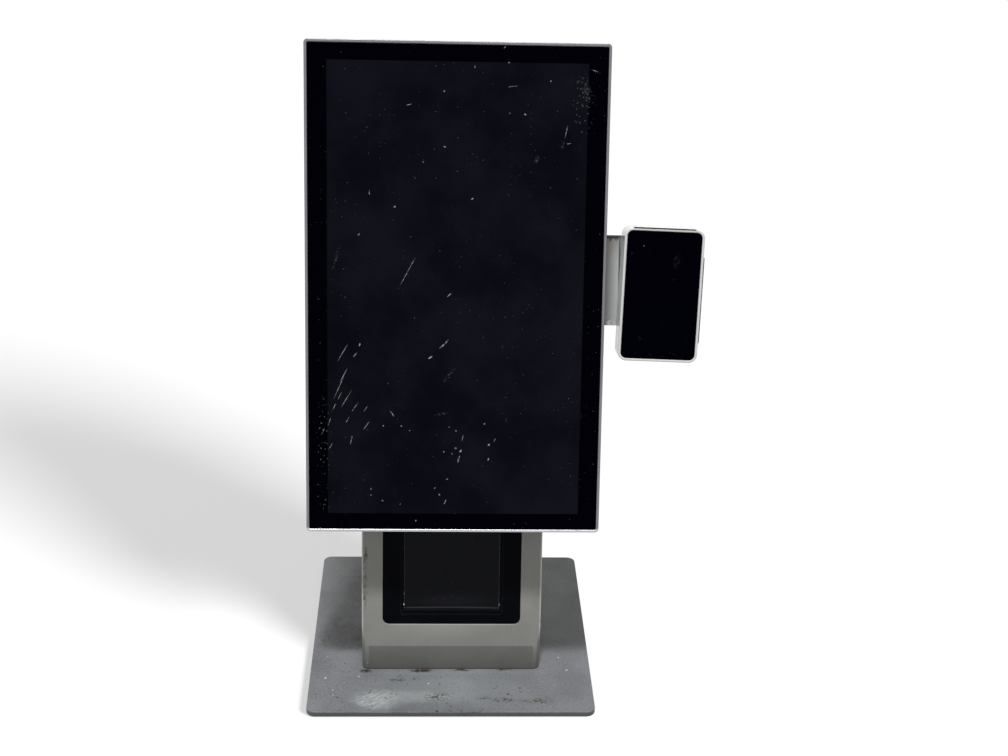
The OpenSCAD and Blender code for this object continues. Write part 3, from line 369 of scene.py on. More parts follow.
tone = layers(
    tone,
    # Scuffs: pale streaks where things were pushed over the front; the pale area they lie in is a painted
    # highlight of the lamp's glare.
    (meet(streaks, ovals(loose, [(-84, -136, 26, 18)])), "#d3dada", 0.65),
    (ovals(loose, [(-80, -138, 26, 16), (-48, -130, 60, 11)]), "#b4baba", 0.32),
    # Dried dirt and rust.
    (meet(ovals(loose, smears), blotches(where, 3.4, 0.47, 0.56, detail=6)), "#4a453a", 0.9),
    (meet(ovals(wobbled(where, 8, 3), rusty), blotches(where, 2.6, 0.36, 0.46, detail=6)), "#2e2018", 0.95),
    # Grit and white flecks.
    (meet(grit, ovals(where, [(-20, -118, 150, 45), (-130, 0, 40, 130)])), "#2c2925", 0.85),
    (ovals(where, flecks), "#f0f2f2", 0.9),
    # Edge: darker on its sides below the top and darkest along the bottom, with the paint worn off the
    # upper corner.
    (gradient(where, 2, PLATE_TOP - 0.2, PLATE_TOP - 1.2), "#474846", 0.7),
    (gradient(where, 2, PLATE_TOP - 4, PLATE_TOP - 5), "#222321", 0.5),
    (worn_edges(where, 1.0, 9), "#b4b7b8", 0.75),
)
satin, skin = drifting(where, 25, 0.36, 0.52), bumps(where, 1.6, 0.3, 0.03, 1)
end_finish("plate_paint", tone, satin, skin, {"IOR": 1.5})

# %% [markdown]
# The pedestal's folded sheet and the terminal's flat bracket have silver-grey paint. Both get the same
# recipe with their own tints, painted light and shade, scuffs and chips: dark scuffs run along the
# pedestal's left fold, and the bracket has a bright chip at its foot, painted light on its right part and
# painted shade at its top and beside the terminal.

# %% Silver paint of the pedestal and of the bracket
# Painted highlight along the pedestal's two front folds: middle and half widths in mm, across and in depth.
FOLD_HIGHLIGHT = (99.5, -0.5, 1.3, 1.3)


def silver_paint(name, slot, tints, painted_light_code, painted_light, painted_shade, dark, edge_highlight_and_wear, scuffs_and_shade, chips):
    # Silver paint: lacquer with fine aluminium flake, sprayed and baked. The eye sees a satin grey with a
    # fine grain, partly metallic, with a painted highlight along the folds.
    where = start_finish(name, slot, FRONT_PLANE, CREASE)
    tree = where.id_data
    standing = place(tree)
    front = gradient(where, 2, -9, -4)
    streaks = blotches(stretched(where, 80, 2.5, 1), 2.6, 0.43, 0.6, detail=6)
    axes = add(tree, "SeparateXYZ", {0: where})
    side = add(tree, "Math", {0: axes.outputs[0]}, operation="ABSOLUTE")
    corner = add(tree, "CombineXYZ", {0: side, 1: axes.outputs[2]})
    tone = layers(
        mottled(where, 70, *tints, 0.35, 0.7),
        # Painted light: lighter just below the pedestal's panel, and on the bracket lighter towards its lit
        # right side, away from the display's shade.
        (ovals(where, painted_light, 1.1, 0.0), painted_light_code),
        # Flake: the grain of the paint, drawn at one millimetre so that it shows.
        (blotches(where, 1.0, 0.52, 0.75, detail=1), "#bfbfbc", 0.3),
        (blotches(stretched(where, 90, 30, 1), 1.6, 0.5, 0.75), "#6f6e6b", 0.12),
        # Front: painted shade below the display and at the bracket's top, then scuffs and dirt, then chips
        # and specks.
        (meet(front, ovals(where, painted_shade, 1.4, 0.2)), "#4c4a47", 0.25),
        (meet(streaks, front, ovals(where, scuffs_and_shade)), "#3d352c", 0.8),
        (meet(front, ovals(where, dark, 1.5, 0.6)), "#2b2d2e", 0.85),
        (meet(blotches(where, 4, 0.42, 0.52), ovals(where, chips)), "#e8eae8"),
        (specks(where, 15, 1.0, 0.2), "#55534f", 0.5),
        # Folds: a painted highlight along the two front folds, and worn bright along every cut edge.
        (ovals(corner, [FOLD_HIGHLIGHT]), "#e2e4e2", 0.7),
        (worn_edges(where, 0.9, 12), "#d3d4d1", 0.6),
        # A painted highlight along the cut edge under the pedestal's panel; on the bracket, a worn bright
        # edge at its foot by the chip.
        (meet(edges(where, 2.2), ovals(where, edge_highlight_and_wear, 1.1, 0.8)), "#f0f2ef", 0.9),
        # Foot: painted shade, darker down the face towards the crease and down the skirt towards the plate,
        # with a painted contact shadow where the skirt meets the plate.
        (gradient(where, 1, 60, 0), "#6b6b69", 0.2),
        (gradient(standing, 2, CREASE_HEIGHT, CREASE_HEIGHT - 2), "#6b6b69", 0.15),
        (gradient(standing, 2, CREASE_HEIGHT, PLATE_TOP), "#4c4a47", 0.45),
        (gradient(standing, 2, PLATE_TOP + 1.6, PLATE_TOP + 0.6), "#2f2d2a", 0.8),
    )
    satin, skin = drifting(where, 30, 0.4, 0.52), bumps(where, 1.1, 0.2, 0.02, 1)
    end_finish(slot, tone, satin, skin, {"Metallic": 0.1, "Specular IOR Level": 0.3})


silver_paint(
    "silver_painted_steel", "pedestal_paint", ("#93938e", "#9e9d99"), "#a9a8a3",
    painted_light=[(-10, 26, 70, 22)], painted_shade=[(0, 142, 125, 28)], dark=[(-98.5, -30, 2, 4)], edge_highlight_and_wear=[(0, 25, 76, 6)],
    scuffs_and_shade=[(-97.5, 72, 3.5, 30), (-96, 104, 3, 12), (-99, -24, 4, 8), (97, -27, 3, 6)],
    chips=[(-94, -22, 1.0, 1.5)],
)
silver_paint(
    "silver_painted_bracket", "bracket_paint", ("#8e8c88", "#95938f"), "#e4e8e8",
    painted_light=[(175, 410, 12.5, 150)], painted_shade=[(160, 462, 40, 20)], edge_highlight_and_wear=[(170, 367.3, 10, 2)],
    # On the bracket, a thin painted shadow runs beside the terminal, and painted shade darkens its top.
    dark=[(175.2, 416, 0.8, 62, 0.5), (160, 463, 20, 2.6)],
    scuffs_and_shade=[(163, 461, 14, 4)], chips=[(168, 370, 5, 3)],
)

# %% [markdown]
# The display's rear cover and its mount are steel with a black textured powder coat. Its wrinkles are
# under a millimetre, and they are drawn at one millimetre here so that they show.

# %% Textured black paint of the rear cover and the mount
# Textured powder coat: it shrinks to fine wrinkles in the oven, so it scatters light and looks dry.
where = start_finish("textured_black_paint", "dark_paint", FRONT_PLANE)
tone = layers(
    mottled(where, 45, "#222326", "#2c2d30", 0.35, 0.7),
    (blotches(where, 1.0, 0.55, 0.75, detail=2), "#45464a", 0.5),
    (specks(where, 14, 0.9, 0.2), "#8d8c88", 0.5),
    (worn_edges(where, 0.6, 14), "#6f7174", 0.6),
)
dry, skin = drifting(where, 20, 0.5, 0.64), bumps(where, 1, 0.5, 0.06)
end_finish("dark_paint", tone, dry, skin, {"IOR": 1.5})

# %% [markdown]
# ## Bare metals
# The display's rim and the heat sinks are extruded aluminium. Screws, shafts and inner brackets are
# zinc-plated steel, and the small spacers are brass. A metal takes its colour from what it mirrors, so
# its own tone stays simple, and draw lines, plating and tool marks go into roughness and bump.

# %% Anodised aluminium
def anodised(name, slot, dark, light, bright, painted_highlight):
    # Anodised aluminium: pressed through a die, blasted and anodised. The eye sees a soft sheen with
    # faint lines along the bar, and a painted highlight lightens the lying bottom bar, where light from
    # above glints.
    where = start_finish(name, slot, FRONT_PLANE, centre("display_frame", FRONT_PLANE))
    tone = layers(
        mottled(stretched(where, 90, 40, 0.8), 1, dark, light),
        (ovals(where, painted_highlight, 1.1, 0.7), "#bcbec0", 0.95),
        (worn_edges(where, 0.6, 8), bright, 0.6),
        (specks(where, 11, 0.8, 0.25), "#4a4a4a", 0.5),
    )
    satin, skin = drifting(where, 18, 0.28, 0.4), bumps(where, 0.7, 0.15, 0.01, 1)
    end_finish(slot, tone, satin, skin, {"Metallic": 1.0})


anodised("anodised_aluminium", "aluminium", "#a5a7aa", "#b9bbbe", "#d8dadb", [(0, 0, 1, 1)])
# The rim's bottom bar gets a painted highlight.
anodised("dark_anodised_rim", "rim_aluminium", "#76787b", "#86888b", "#a9abad", [(0, -257, 900, 3)])

# %% Zinc-plated steel and brass
# Zinc plating: a thin bright layer from a bath. The eye sees cloudy grey with fine drawn lines.
where = start_finish("zinc_plated_steel", "zinc_steel")
tone = mottled(where, 5, "#9a9ca0", "#bcbfc2", 0.35, 0.65)
tone = layer(tone, blotches(where, 1.2, 0.6, 0.75), "#7f7d76", 0.4)
satin = drifting(where, 3, 0.24, 0.42)
skin = bumps(stretched(where, 0, 12, 0.5), 1, 0.1, 0.01)
end_finish("zinc_steel", tone, satin, skin, {"Metallic": 1.0})

# Brass: turned from bar. The eye sees warm yellow metal with rings from the tool.
where = start_finish("turned_brass", "brass", LEANING)
tone = mottled(where, 2, "#b08d45", "#cfab5c")
satin = drifting(where, 1, 0.22, 0.38)
skin = bumps(stretched(where, 0, 0.4, 6), 1, 0.15, 0.01)
end_finish("brass", tone, satin, skin, {"Metallic": 1.0})

# %% [markdown]
# ## Touch glass
# The display's front is a sheet of glass with a black printed border; the picture area behind it is a
# trace lighter. It could be clear glass over a dark panel, but nothing shows through, so the sheet is one
# opaque coat: black ink, a smooth face, and on top what hands leave behind. Each scratch, drip and wiped
# film is one thin oval in a list: its place from the middle of the glass in millimetres, its half widths
# and its turn. The face has a coat against glare, so it mirrors far less than plain glass, and bluish.

# %% Marks on the glass
HAIRLINES = [
    (-118, -64, 11.8, 60), (-122, -101, 15.1, 66), (-114, -113, 12.1, 59), (-121, -110, 5.2, 64),
    (-105, -122, 6.9, 55), (-113, -136, 4.0, 61), (-93, -142, 6.1, 55), (-132, -138, 5.5, 72),
    (-131, -165, 4.4, 57), (-109, -158, 5.8, 77), (-50, 23, 18.8, 62), (112, 169, 7.4, 78),
    (56, 214, 5.3, 7), (140, 231, 3.9, 162), (-50, 194, 3.4, 14), (9, -155, 3.9, 79),
    (-94, -124, 4.0, 55), (-139, -149, 4.6, 63), (-117, -88, 9.0, 62), (-127, -122, 4.2, 66),
]
DRIPS = [
    (-105, -66, 3.5, 0.7, 59), (-100, -55, 2.2, 0.7, 72), (-66, -129, 4, 0.7, 125),
    (-26, -68, 3, 1.2, 39), (-14, -56, 4.1, 0.9, 46), (-9, -51, 3.7, 0.7, 53), (5, -178, 4.5, 1, 77),
    (7, -169, 2, 1.1, 65), (2, -166, 1.5, 1.3, 38), (-7, -2, 3.2, 0.7, 41), (37, -162, 1.6, 1.1, 34),
    (43, -157, 2.4, 0.8, 62), (37, -178, 1.9, 0.8, 65), (-9, -225, 3.5, 0.6, 73),
    (-90, 104, 3.4, 0.6, 90), (115, 157, 2.6, 0.5, 7), (-64, 90, 1.6, 1.4), (-101, 61, 1.6, 0.8, 60),
    (69, 186, 1.6, 0.9), (-13, 152, 1, 1), (-35, 136, 1, 1.1), (16, 99, 1.6, 0.9, 20), (32, -139, 1, 1),
    (95, 220, 1, 0.9), (-75, -142, 0.9, 0.7), (-56, -142, 1, 0.8), (-47, -147, 1, 0.8),
    (-5, -143, 0.9, 0.7), (2, -147, 0.9, 0.8), (-2, -172, 0.8, 0.7), (-11, -170, 0.8, 0.7),
    (-7, -200, 1.3, 0.7, 40), (-20, -210, 1.5, 0.7, 50), (-15, -217, 1, 0.9),
    (-88, -211, 1.6, 0.6, 120), (-88, -218, 1.2, 0.8), (-76, -224, 0.9, 0.8), (-57, -228, 0.9, 0.7),
    (-40, -246, 1.2, 0.6, 90), (-14, 208, 0.9, 0.8), (53, 187, 1, 0.6, 80), (47, 253, 1.8, 0.5, 50),
    (52, 238, 1, 0.8), (17, 233, 1.6, 0.5, 90),
]
WIPES = [
    (-6, -87, 9.9, 2.2, 51), (-14, -129, 8.1, 1.6, 12), (-125, 35, 13.1, 1.6, 73), (108, 156, 4.2, 3.4, 90),
    (133, 208, 9.0, 4.0, 98), (130, 216, 7.0, 1.2, 64), (82, 140, 4.6, 2.4, 80), (126, 222, 8.0, 1.0, 40),
]
print("marks on the glass:", len(HAIRLINES) + len(DRIPS) + len(WIPES))


# %% Touch glass of the display and of the terminal
def touch_glass(name, slot, plane, origin, half_picture, tints, dust_and_highlight, hairlines, drips, wipes, dusty):
    # Touch glass: float glass printed black on its back. The eye sees deep black with a smooth face, on
    # which marks lie like chalk.
    where = start_finish(name, slot, plane, origin)
    tree = where.id_data
    axes = add(tree, "SeparateXYZ", {0: where})
    gaps = {}
    for axis, half in enumerate(half_picture):
        away = add(tree, "Math", {0: axes.outputs[axis]}, operation="ABSOLUTE")
        gaps[axis] = add(tree, "Math", {0: away, 1: half}, operation="SUBTRACT")
    outside = add(tree, "Math", gaps, operation="MAXIMUM")
    picture = add(tree, "MapRange", {0: outside, 1: 0.3, 2: -0.3})
    film = mottled(where, 90, *tints)
    tone = add(tree, "Mix", {0: picture, 6: colour("#000003"), 7: film}, data_type="RGBA")
    # Scratches are straight and thin, drips have uneven outlines, and wipes are thin films.
    broken = blotches(where, 2.2, 0.35, 0.6, 0.15, 1.0)
    if hairlines:
        lines = ovals(where, [(u, v, half, 0.3, turn) for u, v, half, turn in hairlines], 1.05, 0.6)
        tone = layer(tone, meet(lines, broken), "#c9cbcd", 0.9)
    loose = wobbled(where, 3, 1.1)
    wiped = blotches(where, 2.2, 0.45, 0.7, detail=6)
    drawn = specks(stretched(loose, 62, 1.8, 1), 3.4, 0.9, 0.45)
    tone = layers(
        tone,
        (meet(ovals(loose, drips, 1.0, 0.5), broken), "#c6c9cb", 0.85),
        (meet(ovals(loose, wipes, 1.3, 0.2), wiped), "#80848c", dust_and_highlight),
        # Dust: single grains everywhere, finer ones in loose clouds, drawn-out ones in dusty places.
        (specks(loose, 24, 1.0, 0.3), "#8b8e93", dust_and_highlight),
        (meet(specks(loose, 5, 0.9, 0.14), blotches(where, 50, 0.45, 0.65)), "#7c7f85", dust_and_highlight),
        (meet(drawn, ovals(where, dusty)), "#a3a6ab", dust_and_highlight),
    )
    smooth, skin = blotches(where, 30, 0.35, 0.7, 0.05, 0.14), bumps(where, 40, 0.05, 0.02, 1)
    coat = {"Specular IOR Level": 0.02, "Specular Tint": colour("#9494ff")}
    end_finish(slot, tone, smooth, skin, {"IOR": 1.5, **coat})


touch_glass(
    "printed_touch_glass", "black_glass", FRONT_PLANE, centre("cover_glass", FRONT_PLANE),
    (133.9, 238.05), ("#0d0e14", "#191a21"), 0.5, HAIRLINES, DRIPS, WIPES,
    [(-138, -158, 8, 44), (-137, -215, 9, 18), (128, 196, 12, 30)],
)
touch_glass(
    "printed_terminal_glass", "terminal_glass", TERMINAL_PLANE, centre("terminal_glass", TERMINAL_PLANE),
    (34, 60), ("#000003", "#010106"), 0.1, [], [(-22, 52, 0.7, 0.6, 0)],
    [(14, 38, 9, 4, 85), (-34, 44, 2.5, 1.5, 90), (12, 18, 4, 1.5, 10), (-20, -46, 4, 1.4, 120)],
    [(0, -62, 30, 4)],
)

# %% [markdown]
# ## Plastics and rubber
# The printer's panel and door are gloss black ABS from a polished mould, with dust and a soft smear.
# Other black parts come from an etched mould with a fine grain. The terminal's case is white ABS that
# has gone slightly warm. Grommet, pad and platen are black rubber with a matt bloom.

# %% Gloss black ABS of the panel and the door
DOOR_FOOT = 44


def gloss_black(name, slot, shine, edge_highlight_code, dust_and_highlight):
    # Gloss ABS: moulded against polished steel. The eye sees black with a mirror's smoothness, slightly
    # wavy, and every grain of dust.
    where = start_finish(name, slot, FRONT_PLANE, CREASE)
    lines = edges(where, 0.7)
    tone = layers(
        mottled(where, 35, "#05060b", "#090b12", 0.35, 0.7),
        (specks(wobbled(where, 4, 1), 11, 0.9, 0.22), "#77797d", 0.45),
        (meet(specks(where, 3, 0.7, 0.15), blotches(where, 25, 0.5, 0.65)), "#4d4f53", 0.5),
        (ovals(where, [(0, 53, 46, 8)], 1.3, 0.2), "#3a3b46", 0.12),
        # Painted highlight: the bevels get a paler colour, bright on the door, for its thin outline.
        (lines, edge_highlight_code, 0.8),
        # A pale line along the door's lower edge and along the frame's edge below is a painted highlight,
        # where the bevels catch the light.
        (ovals(where, [(0, DOOR_FOOT + 0.9, 60, 1.1)], 1.05, 0.7), "#33353c", dust_and_highlight),
        (meet(lines, ovals(where, [(0, DOOR_FOOT - 3, 60, 2.8)], 1.1, 0.9)), "#4a4c54", 0.9),
    )
    gloss, skin = drifting(where, 24, 0.14, 0.26), bumps(where, 12, 0.1, 0.03)
    end_finish(slot, tone, gloss, skin, {"IOR": 1.53, "Specular IOR Level": shine})


# The last value is the strength of the painted highlight along the door's lower edge.
gloss_black("gloss_black_panel", "panel_abs", 0.02, "#2a2b2e", 0.0)
gloss_black("gloss_black_door", "door_abs", 0.07, "#8a8c90", 1.0)

# %% Grained black and polished white ABS
# Grained ABS: moulded against etched steel, with a fine leathery grain drawn at nearly a millimetre so
# that it shows. The eye sees a dull black that turns grey on rubbed edges.
where = start_finish("grained_black_abs", "black_abs", LEANING)
tone = layers(
    mottled(where, 20, "#151517", "#1e1e21", 0.35, 0.7),
    (worn_edges(where, 0.4, 10), "#3c3c40", 0.7),
    (specks(where, 9, 0.7, 0.15), "#7b7b7b", 0.4),
)
tree = where.id_data
grain = add(tree, "TexVoronoi", {"Vector": where, "Scale": 1 / 0.9})
skin = add(tree, "Bump", {"Height": grain, "Strength": 0.3, "Distance": 0.04 * MM})
matt = drifting(where, 8, 0.42, 0.58)
end_finish("black_abs", tone, matt, skin, {"IOR": 1.53})

# White ABS: moulded against polished steel. The eye sees clean white that mirrors at a flat angle.
where = start_finish("polished_white_abs", "white_abs", TERMINAL_PLANE)
tone = layers(
    mottled(where, 30, "#f5f5f2", "#fafaf8", 0.35, 0.7),
    (specks(where, 10, 0.8, 0.15), "#9b988f", 0.5),
    (worn_edges(where, 0.5, 14), "#cbc9c2", 0.5),
)
gloss, skin = drifting(where, 16, 0.1, 0.2), bumps(where, 0.8, 0.1, 0.02, 1)
end_finish("white_abs", tone, gloss, skin, {"IOR": 1.53})

# %% Rubber, nylon, lens and unlit panel
# Rubber: moulded and cured. The eye sees matt black with a grey bloom that comes out of it with age.
where = start_finish("black_rubber", "rubber")
tone = mottled(where, 12, "#161617", "#28282a", 0.4, 0.75)
tone = layer(tone, specks(where, 6, 0.7, 0.2), "#77756f", 0.4)
matt, skin = drifting(where, 10, 0.68, 0.85), bumps(where, 0.8, 0.3, 0.05, 3)
end_finish("rubber", tone, matt, skin, {"IOR": 1.52})

# Nylon: moulded without colour. The eye sees a waxy cream that lets some light in.
where = start_finish("natural_nylon", "nylon", LEANING)
tone = mottled(where, 4, "#dcd6c2", "#e9e5d6")
waxy = drifting(where, 2, 0.38, 0.5)
skin = bumps(where, 0.5, 0.1, 0.02)
inner_light = {"Subsurface Weight": 0.15, "Subsurface Scale": 1 * MM}
end_finish("nylon", tone, waxy, skin, {"IOR": 1.53, **inner_light})

# Acrylic: moulded and frosted. The eye sees a pale milky window.
where = start_finish("frosted_acrylic", "lens", LEANING)
tone = mottled(where, 1.5, "#b5d6bd", "#cfe6d3")
frost = drifting(where, 0.6, 0.25, 0.4)
skin = bumps(where, 0.4, 0.1, 0.01)
end_finish("lens", tone, frost, skin, {"IOR": 1.49, "Transmission Weight": 0.4})

# Liquid-crystal panel: polarising film rolled on glass. Unlit, the eye sees an even blue-black.
where = start_finish("unlit_liquid_crystal", "lcd", FRONT_PLANE)
tone = mottled(where, 60, "#101216", "#16181d")
film = drifting(where, 15, 0.2, 0.3)
end_finish("lcd", tone, film, None, {"IOR": 1.5})

# %% [markdown]
# ## Boards, print head and paper
# Circuit boards are glass laminate under a green mask; copper runs below it show as paler lines. The
# print head is a glazed ceramic strip. A paper roll shows its wound layers on its ends: the layers are
# finer than a pixel, so rings about a millimetre apart stand for them.

# %% Circuit board, ceramic, paper and cardboard
# Circuit board: glass laminate under a printed mask. The eye sees glossy green with paler runs.
where = start_finish("green_circuit_board", "circuit_board", FRONT_PLANE)
tree = where.id_data
paint = {"Color1": colour("#000000"), "Color2": colour("#000000"), "Mortar": colour("#ffffff")}
runs = add(tree, "TexBrick", {"Vector": where, "Scale": 1 / 6, "Mortar Size": 0.05, **paint})
tone = mottled(where, 20, "#17432a", "#1f5233")
copper = meet(runs.outputs["Color"], blotches(where, 9, 0.45, 0.5))
tone = layer(tone, copper, "#3f7d50", 0.8)
tone = layer(tone, specks(where, 5, 1.6, 0.35), "#c3b88a", 0.9)
gloss = drifting(where, 7, 0.3, 0.42)
skin = add(tree, "Bump", {"Height": copper, "Strength": 0.3, "Distance": 0.03 * MM})
end_finish("circuit_board", tone, gloss, skin, {"IOR": 1.5})

# Ceramic: fired and glazed. The eye sees brown glass on a dull body.
where = start_finish("glazed_ceramic", "ceramic_head", LEANING)
tone = mottled(where, 6, "#5a4635", "#6c5642")
gloss = drifting(where, 3, 0.15, 0.28)
end_finish("ceramic_head", tone, gloss, None, {"IOR": 1.55})

# Thermal paper: coated and pressed smooth. The eye sees soft white, with wound rings on the ends.
where = start_finish("thermal_paper", "paper", LEANING, centre("paper_roll", LEANING))
tree = where.id_data
rings = {"Vector": where, "Scale": 0.314, "Distortion": 0.6, "Detail": 2, "Detail Scale": 0.5}
wound = add(tree, "TexWave", rings, wave_type="RINGS", rings_direction="X")
wound = wound.outputs["Color"]
tone = add(tree, "Mix", {0: wound, 6: colour("#dedcd4"), 7: colour("#f3f2ed")}, data_type="RGBA")
skin = add(tree, "Bump", {"Height": wound, "Strength": 0.2, "Distance": 0.05 * MM})
matt = drifting(where, 6, 0.55, 0.68)
end_finish("paper", tone, matt, skin, {"IOR": 1.5})

# Cardboard: wound from glued strips. The eye sees dull brown with slanting fibres.
where = start_finish("brown_cardboard", "cardboard", LEANING)
tree = where.id_data
fibres = blotches(stretched(where, 20, 5, 0.8), 1.0, 0.3, 0.7)
tone = add(tree, "Mix", {0: fibres, 6: colour("#8d7350"), 7: colour("#ad9168")}, data_type="RGBA")
skin = add(tree, "Bump", {"Height": fibres, "Strength": 0.3, "Distance": 0.05 * MM})
matt = drifting(where, 5, 0.75, 0.88)
end_finish("cardboard", tone, matt, skin, {"IOR": 1.5})

# %% [markdown]
# ## Modelling helpers
# Each operator acts on what is selected, so the first helper leaves one object selected and the second
# picks edges or faces by a test of their place or direction. The others do what a hand would repeat:
# start from a block at its size, round its corners, ease a rim, sink a face, cut an opening.

# %% Selecting and starting
NEAR = 0.01 * MM
SQUARE = 0.999


def alone(piece):
    """Leave one object selected and active, in object mode."""
    if bpy.context.mode != "OBJECT":
        bpy.ops.object.mode_set(mode="OBJECT")
    bpy.ops.object.select_all(action="DESELECT")
    piece.select_set(True)
    bpy.context.view_layer.objects.active = piece


def open_at(piece, kind, wanted):
    """Enter edit mode with only those edges or faces selected that pass a test."""
    alone(piece)
    bpy.ops.object.mode_set(mode="EDIT")
    bpy.ops.mesh.select_mode(type=kind)
    bpy.ops.mesh.select_all(action="DESELECT")
    mesh = bmesh.from_edit_mesh(piece.data)
    for part in mesh.edges if kind == "EDGE" else mesh.faces:
        if wanted(part):
            part.select_set(True)
    mesh.select_flush_mode()
    bmesh.update_edit_mesh(piece.data)


def looks(axis, sign):
    """Test for faces that look along an axis."""
    return lambda face: face.normal[axis] * sign > SQUARE


def runs_along(axis):
    """Test for edges that run along an axis."""
    return lambda edge: abs((edge.verts[1].co - edge.verts[0].co).normalized()[axis]) > SQUARE


def rim_of(axis, sign):
    """Test for edges round a flat face that looks along an axis."""
    flat = looks(axis, sign)
    return lambda edge: sum(flat(face) for face in edge.link_faces) == 1


def block(name, low, high):
    """A cube added at its size and place."""
    bpy.ops.object.select_all(action="DESELECT")
    bpy.ops.mesh.primitive_cube_add(size=1, location=(low + high) / 2, scale=high - low)
    piece = bpy.context.object
    piece.name = piece.data.name = name
    bpy.ops.object.transform_apply(location=True, rotation=True, scale=True)
    return piece


print("selection helpers ready")

# %% Shaping
def rounded_block(name, low, high, axis, radius, steps=10):
    """A block whose edges along one axis are rounded."""
    piece = block(name, low, high)
    ease(piece, runs_along(axis), radius, steps)
    return piece


def ease(piece, wanted, width, steps=3):
    """Bevel the edges that pass a test."""
    open_at(piece, "EDGE", wanted)
    bpy.ops.mesh.bevel(offset=width, segments=steps, affect="EDGES")
    bpy.ops.object.mode_set(mode="OBJECT")


def inward(axis, sign, depth):
    """A push into a piece, from the side that looks along an axis."""
    return [-sign * depth if i == axis else 0 for i in range(3)]


def sink(piece, axis, sign, margin, depth):
    """Inset the flat face on one side and push it in."""
    open_at(piece, "FACE", looks(axis, sign))
    bpy.ops.mesh.inset(thickness=margin)
    bpy.ops.mesh.extrude_region_move(TRANSFORM_OT_translate={"value": inward(axis, sign, depth)})
    bpy.ops.object.mode_set(mode="OBJECT")


def modify(piece, kind, **settings):
    """Add a modifier and apply it."""
    alone(piece)
    modifier = piece.modifiers.new(kind.lower(), kind)
    for name, value in settings.items():
        setattr(modifier, name, value)
    bpy.ops.object.modifier_apply(modifier=modifier.name)


def cut_away(piece, cutter):
    """Cut one mesh out of another and throw the cutter away."""
    modify(piece, "BOOLEAN", object=cutter, operation="DIFFERENCE", solver="EXACT")
    bpy.data.objects.remove(cutter)


def grown(low, high, by):
    """A box that is larger on every side by three amounts in millimetres."""
    by = Vector(by) * MM
    return low - by, high + by


print("shaping helpers ready")

# %% [markdown]
# Many pieces are right as CAD solids and lack only their eased edges. The mesh of a CAD node is loose
# triangles, so a copy is first merged into whole faces, and then a bevel finds real edges. Each finished
# piece is turned into place, smoothed and painted, and stands for its CAD nodes from then on.

# %% Copies of CAD pieces, and the way into place
MERGE = 0.002 * MM
FLAT = radians(0.5)
SMOOTH = radians(35)


def solid_copy(node, name):
    """A free copy of a CAD node with its triangles merged into whole faces."""
    alone(NODES[node])
    bpy.ops.object.duplicate()
    piece = bpy.context.object
    piece.name = piece.data.name = name
    bpy.ops.object.parent_clear(type="CLEAR_KEEP_TRANSFORM")
    for key in [key for key in piece.keys() if key.startswith("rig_")]:
        del piece[key]
    bpy.ops.object.mode_set(mode="EDIT")
    bpy.ops.mesh.select_all(action="SELECT")
    bpy.ops.mesh.remove_doubles(threshold=MERGE)
    bpy.ops.mesh.customdata_custom_splitnormals_clear()
    bpy.ops.mesh.dissolve_limited(angle_limit=FLAT)
    bpy.ops.object.mode_set(mode="OBJECT")
    return piece


def ease_all(piece, width, steps=2, sharper_than=40):
    """Ease every edge that is sharper than an angle, as a tumbled or moulded part has them."""
    limit = radians(sharper_than)
    modify(piece, "BEVEL", width=width * MM, segments=steps, limit_method="ANGLE", angle_limit=limit)


def turned(piece, turn):
    """Turn a piece about the origin, and keep the turn in its mesh."""
    alone(piece)
    piece.matrix_world = turn @ piece.matrix_world
    bpy.ops.object.transform_apply(location=True, rotation=True, scale=True)


def squared_copy(node, name, turn):
    """A solid copy that stands square, turned back out of its own frame."""
    piece = solid_copy(node, name)
    turned(piece, turn.inverted())
    return piece


def settle(piece, *stands_for, finish=None, turn=UPRIGHT):
    """Turn a piece into place, smooth it, paint it and let it stand for its CAD nodes."""
    turned(piece, turn)
    bpy.ops.object.shade_smooth_by_angle(angle=SMOOTH)
    modify(piece, "WEIGHTED_NORMAL", keep_sharp=True)
    slot = SLOT_OF[stands_for[0]]
    piece.data.materials.clear()
    piece.data.materials.append(FINISH[finish or slot])
    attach(piece, BODY_OF[stands_for[0]])
    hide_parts(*stands_for)
    print(piece.name, "faces:", len(piece.data.polygons))


def eased_copy(node, name, width, steps=2, finish=None):
    """The whole way of a piece whose CAD solid only lacks its eased edges."""
    piece = solid_copy(node, name)
    ease_all(piece, width, steps)
    settle(piece, node, finish=finish)


print("copying helpers ready")

# %% [markdown]
# ## Base
# The plate is a plain cut plate with its screw holes below, so a merged copy of the CAD solid is enough
# and only its edges are eased, as the paint rounds them. The rubber pad under it is a thin sheet.

# %% Base plate and pad
eased_copy("base_plate", "steel_plate", 0.8, 3)

low, high = span("base_pad", UPRIGHT)
pad = rounded_block("rubber_pad", low, high, 2, 10 * MM)
ease(pad, rim_of(2, -1), 0.4 * MM)
settle(pad, "base_pad")

# %% [markdown]
# ## Pedestal
# The pedestal is folded from two-millimetre sheet. A fold has a radius, a cut edge hardly any, so the
# long outer edges get a wide bevel first and every other sharp edge a narrow one. An outer edge is one
# whose two faces both look away from the middle of the shell.

# %% Pedestal shell and rear cover
SHORTEST_FOLD = 30 * MM
FLATTEST_FOLD = radians(12)


def outer_fold(middle):
    """Test for long edges whose two faces turn by a fold's angle and both look away from a middle point."""
    def wanted(edge):
        if edge.calc_length() < SHORTEST_FOLD or edge.calc_face_angle(0) < FLATTEST_FOLD:
            return False
        arm = (edge.verts[0].co + edge.verts[1].co) / 2 - middle
        return all(face.normal.dot(arm) > 0 and face.normal.z > -0.9 for face in edge.link_faces)
    return wanted


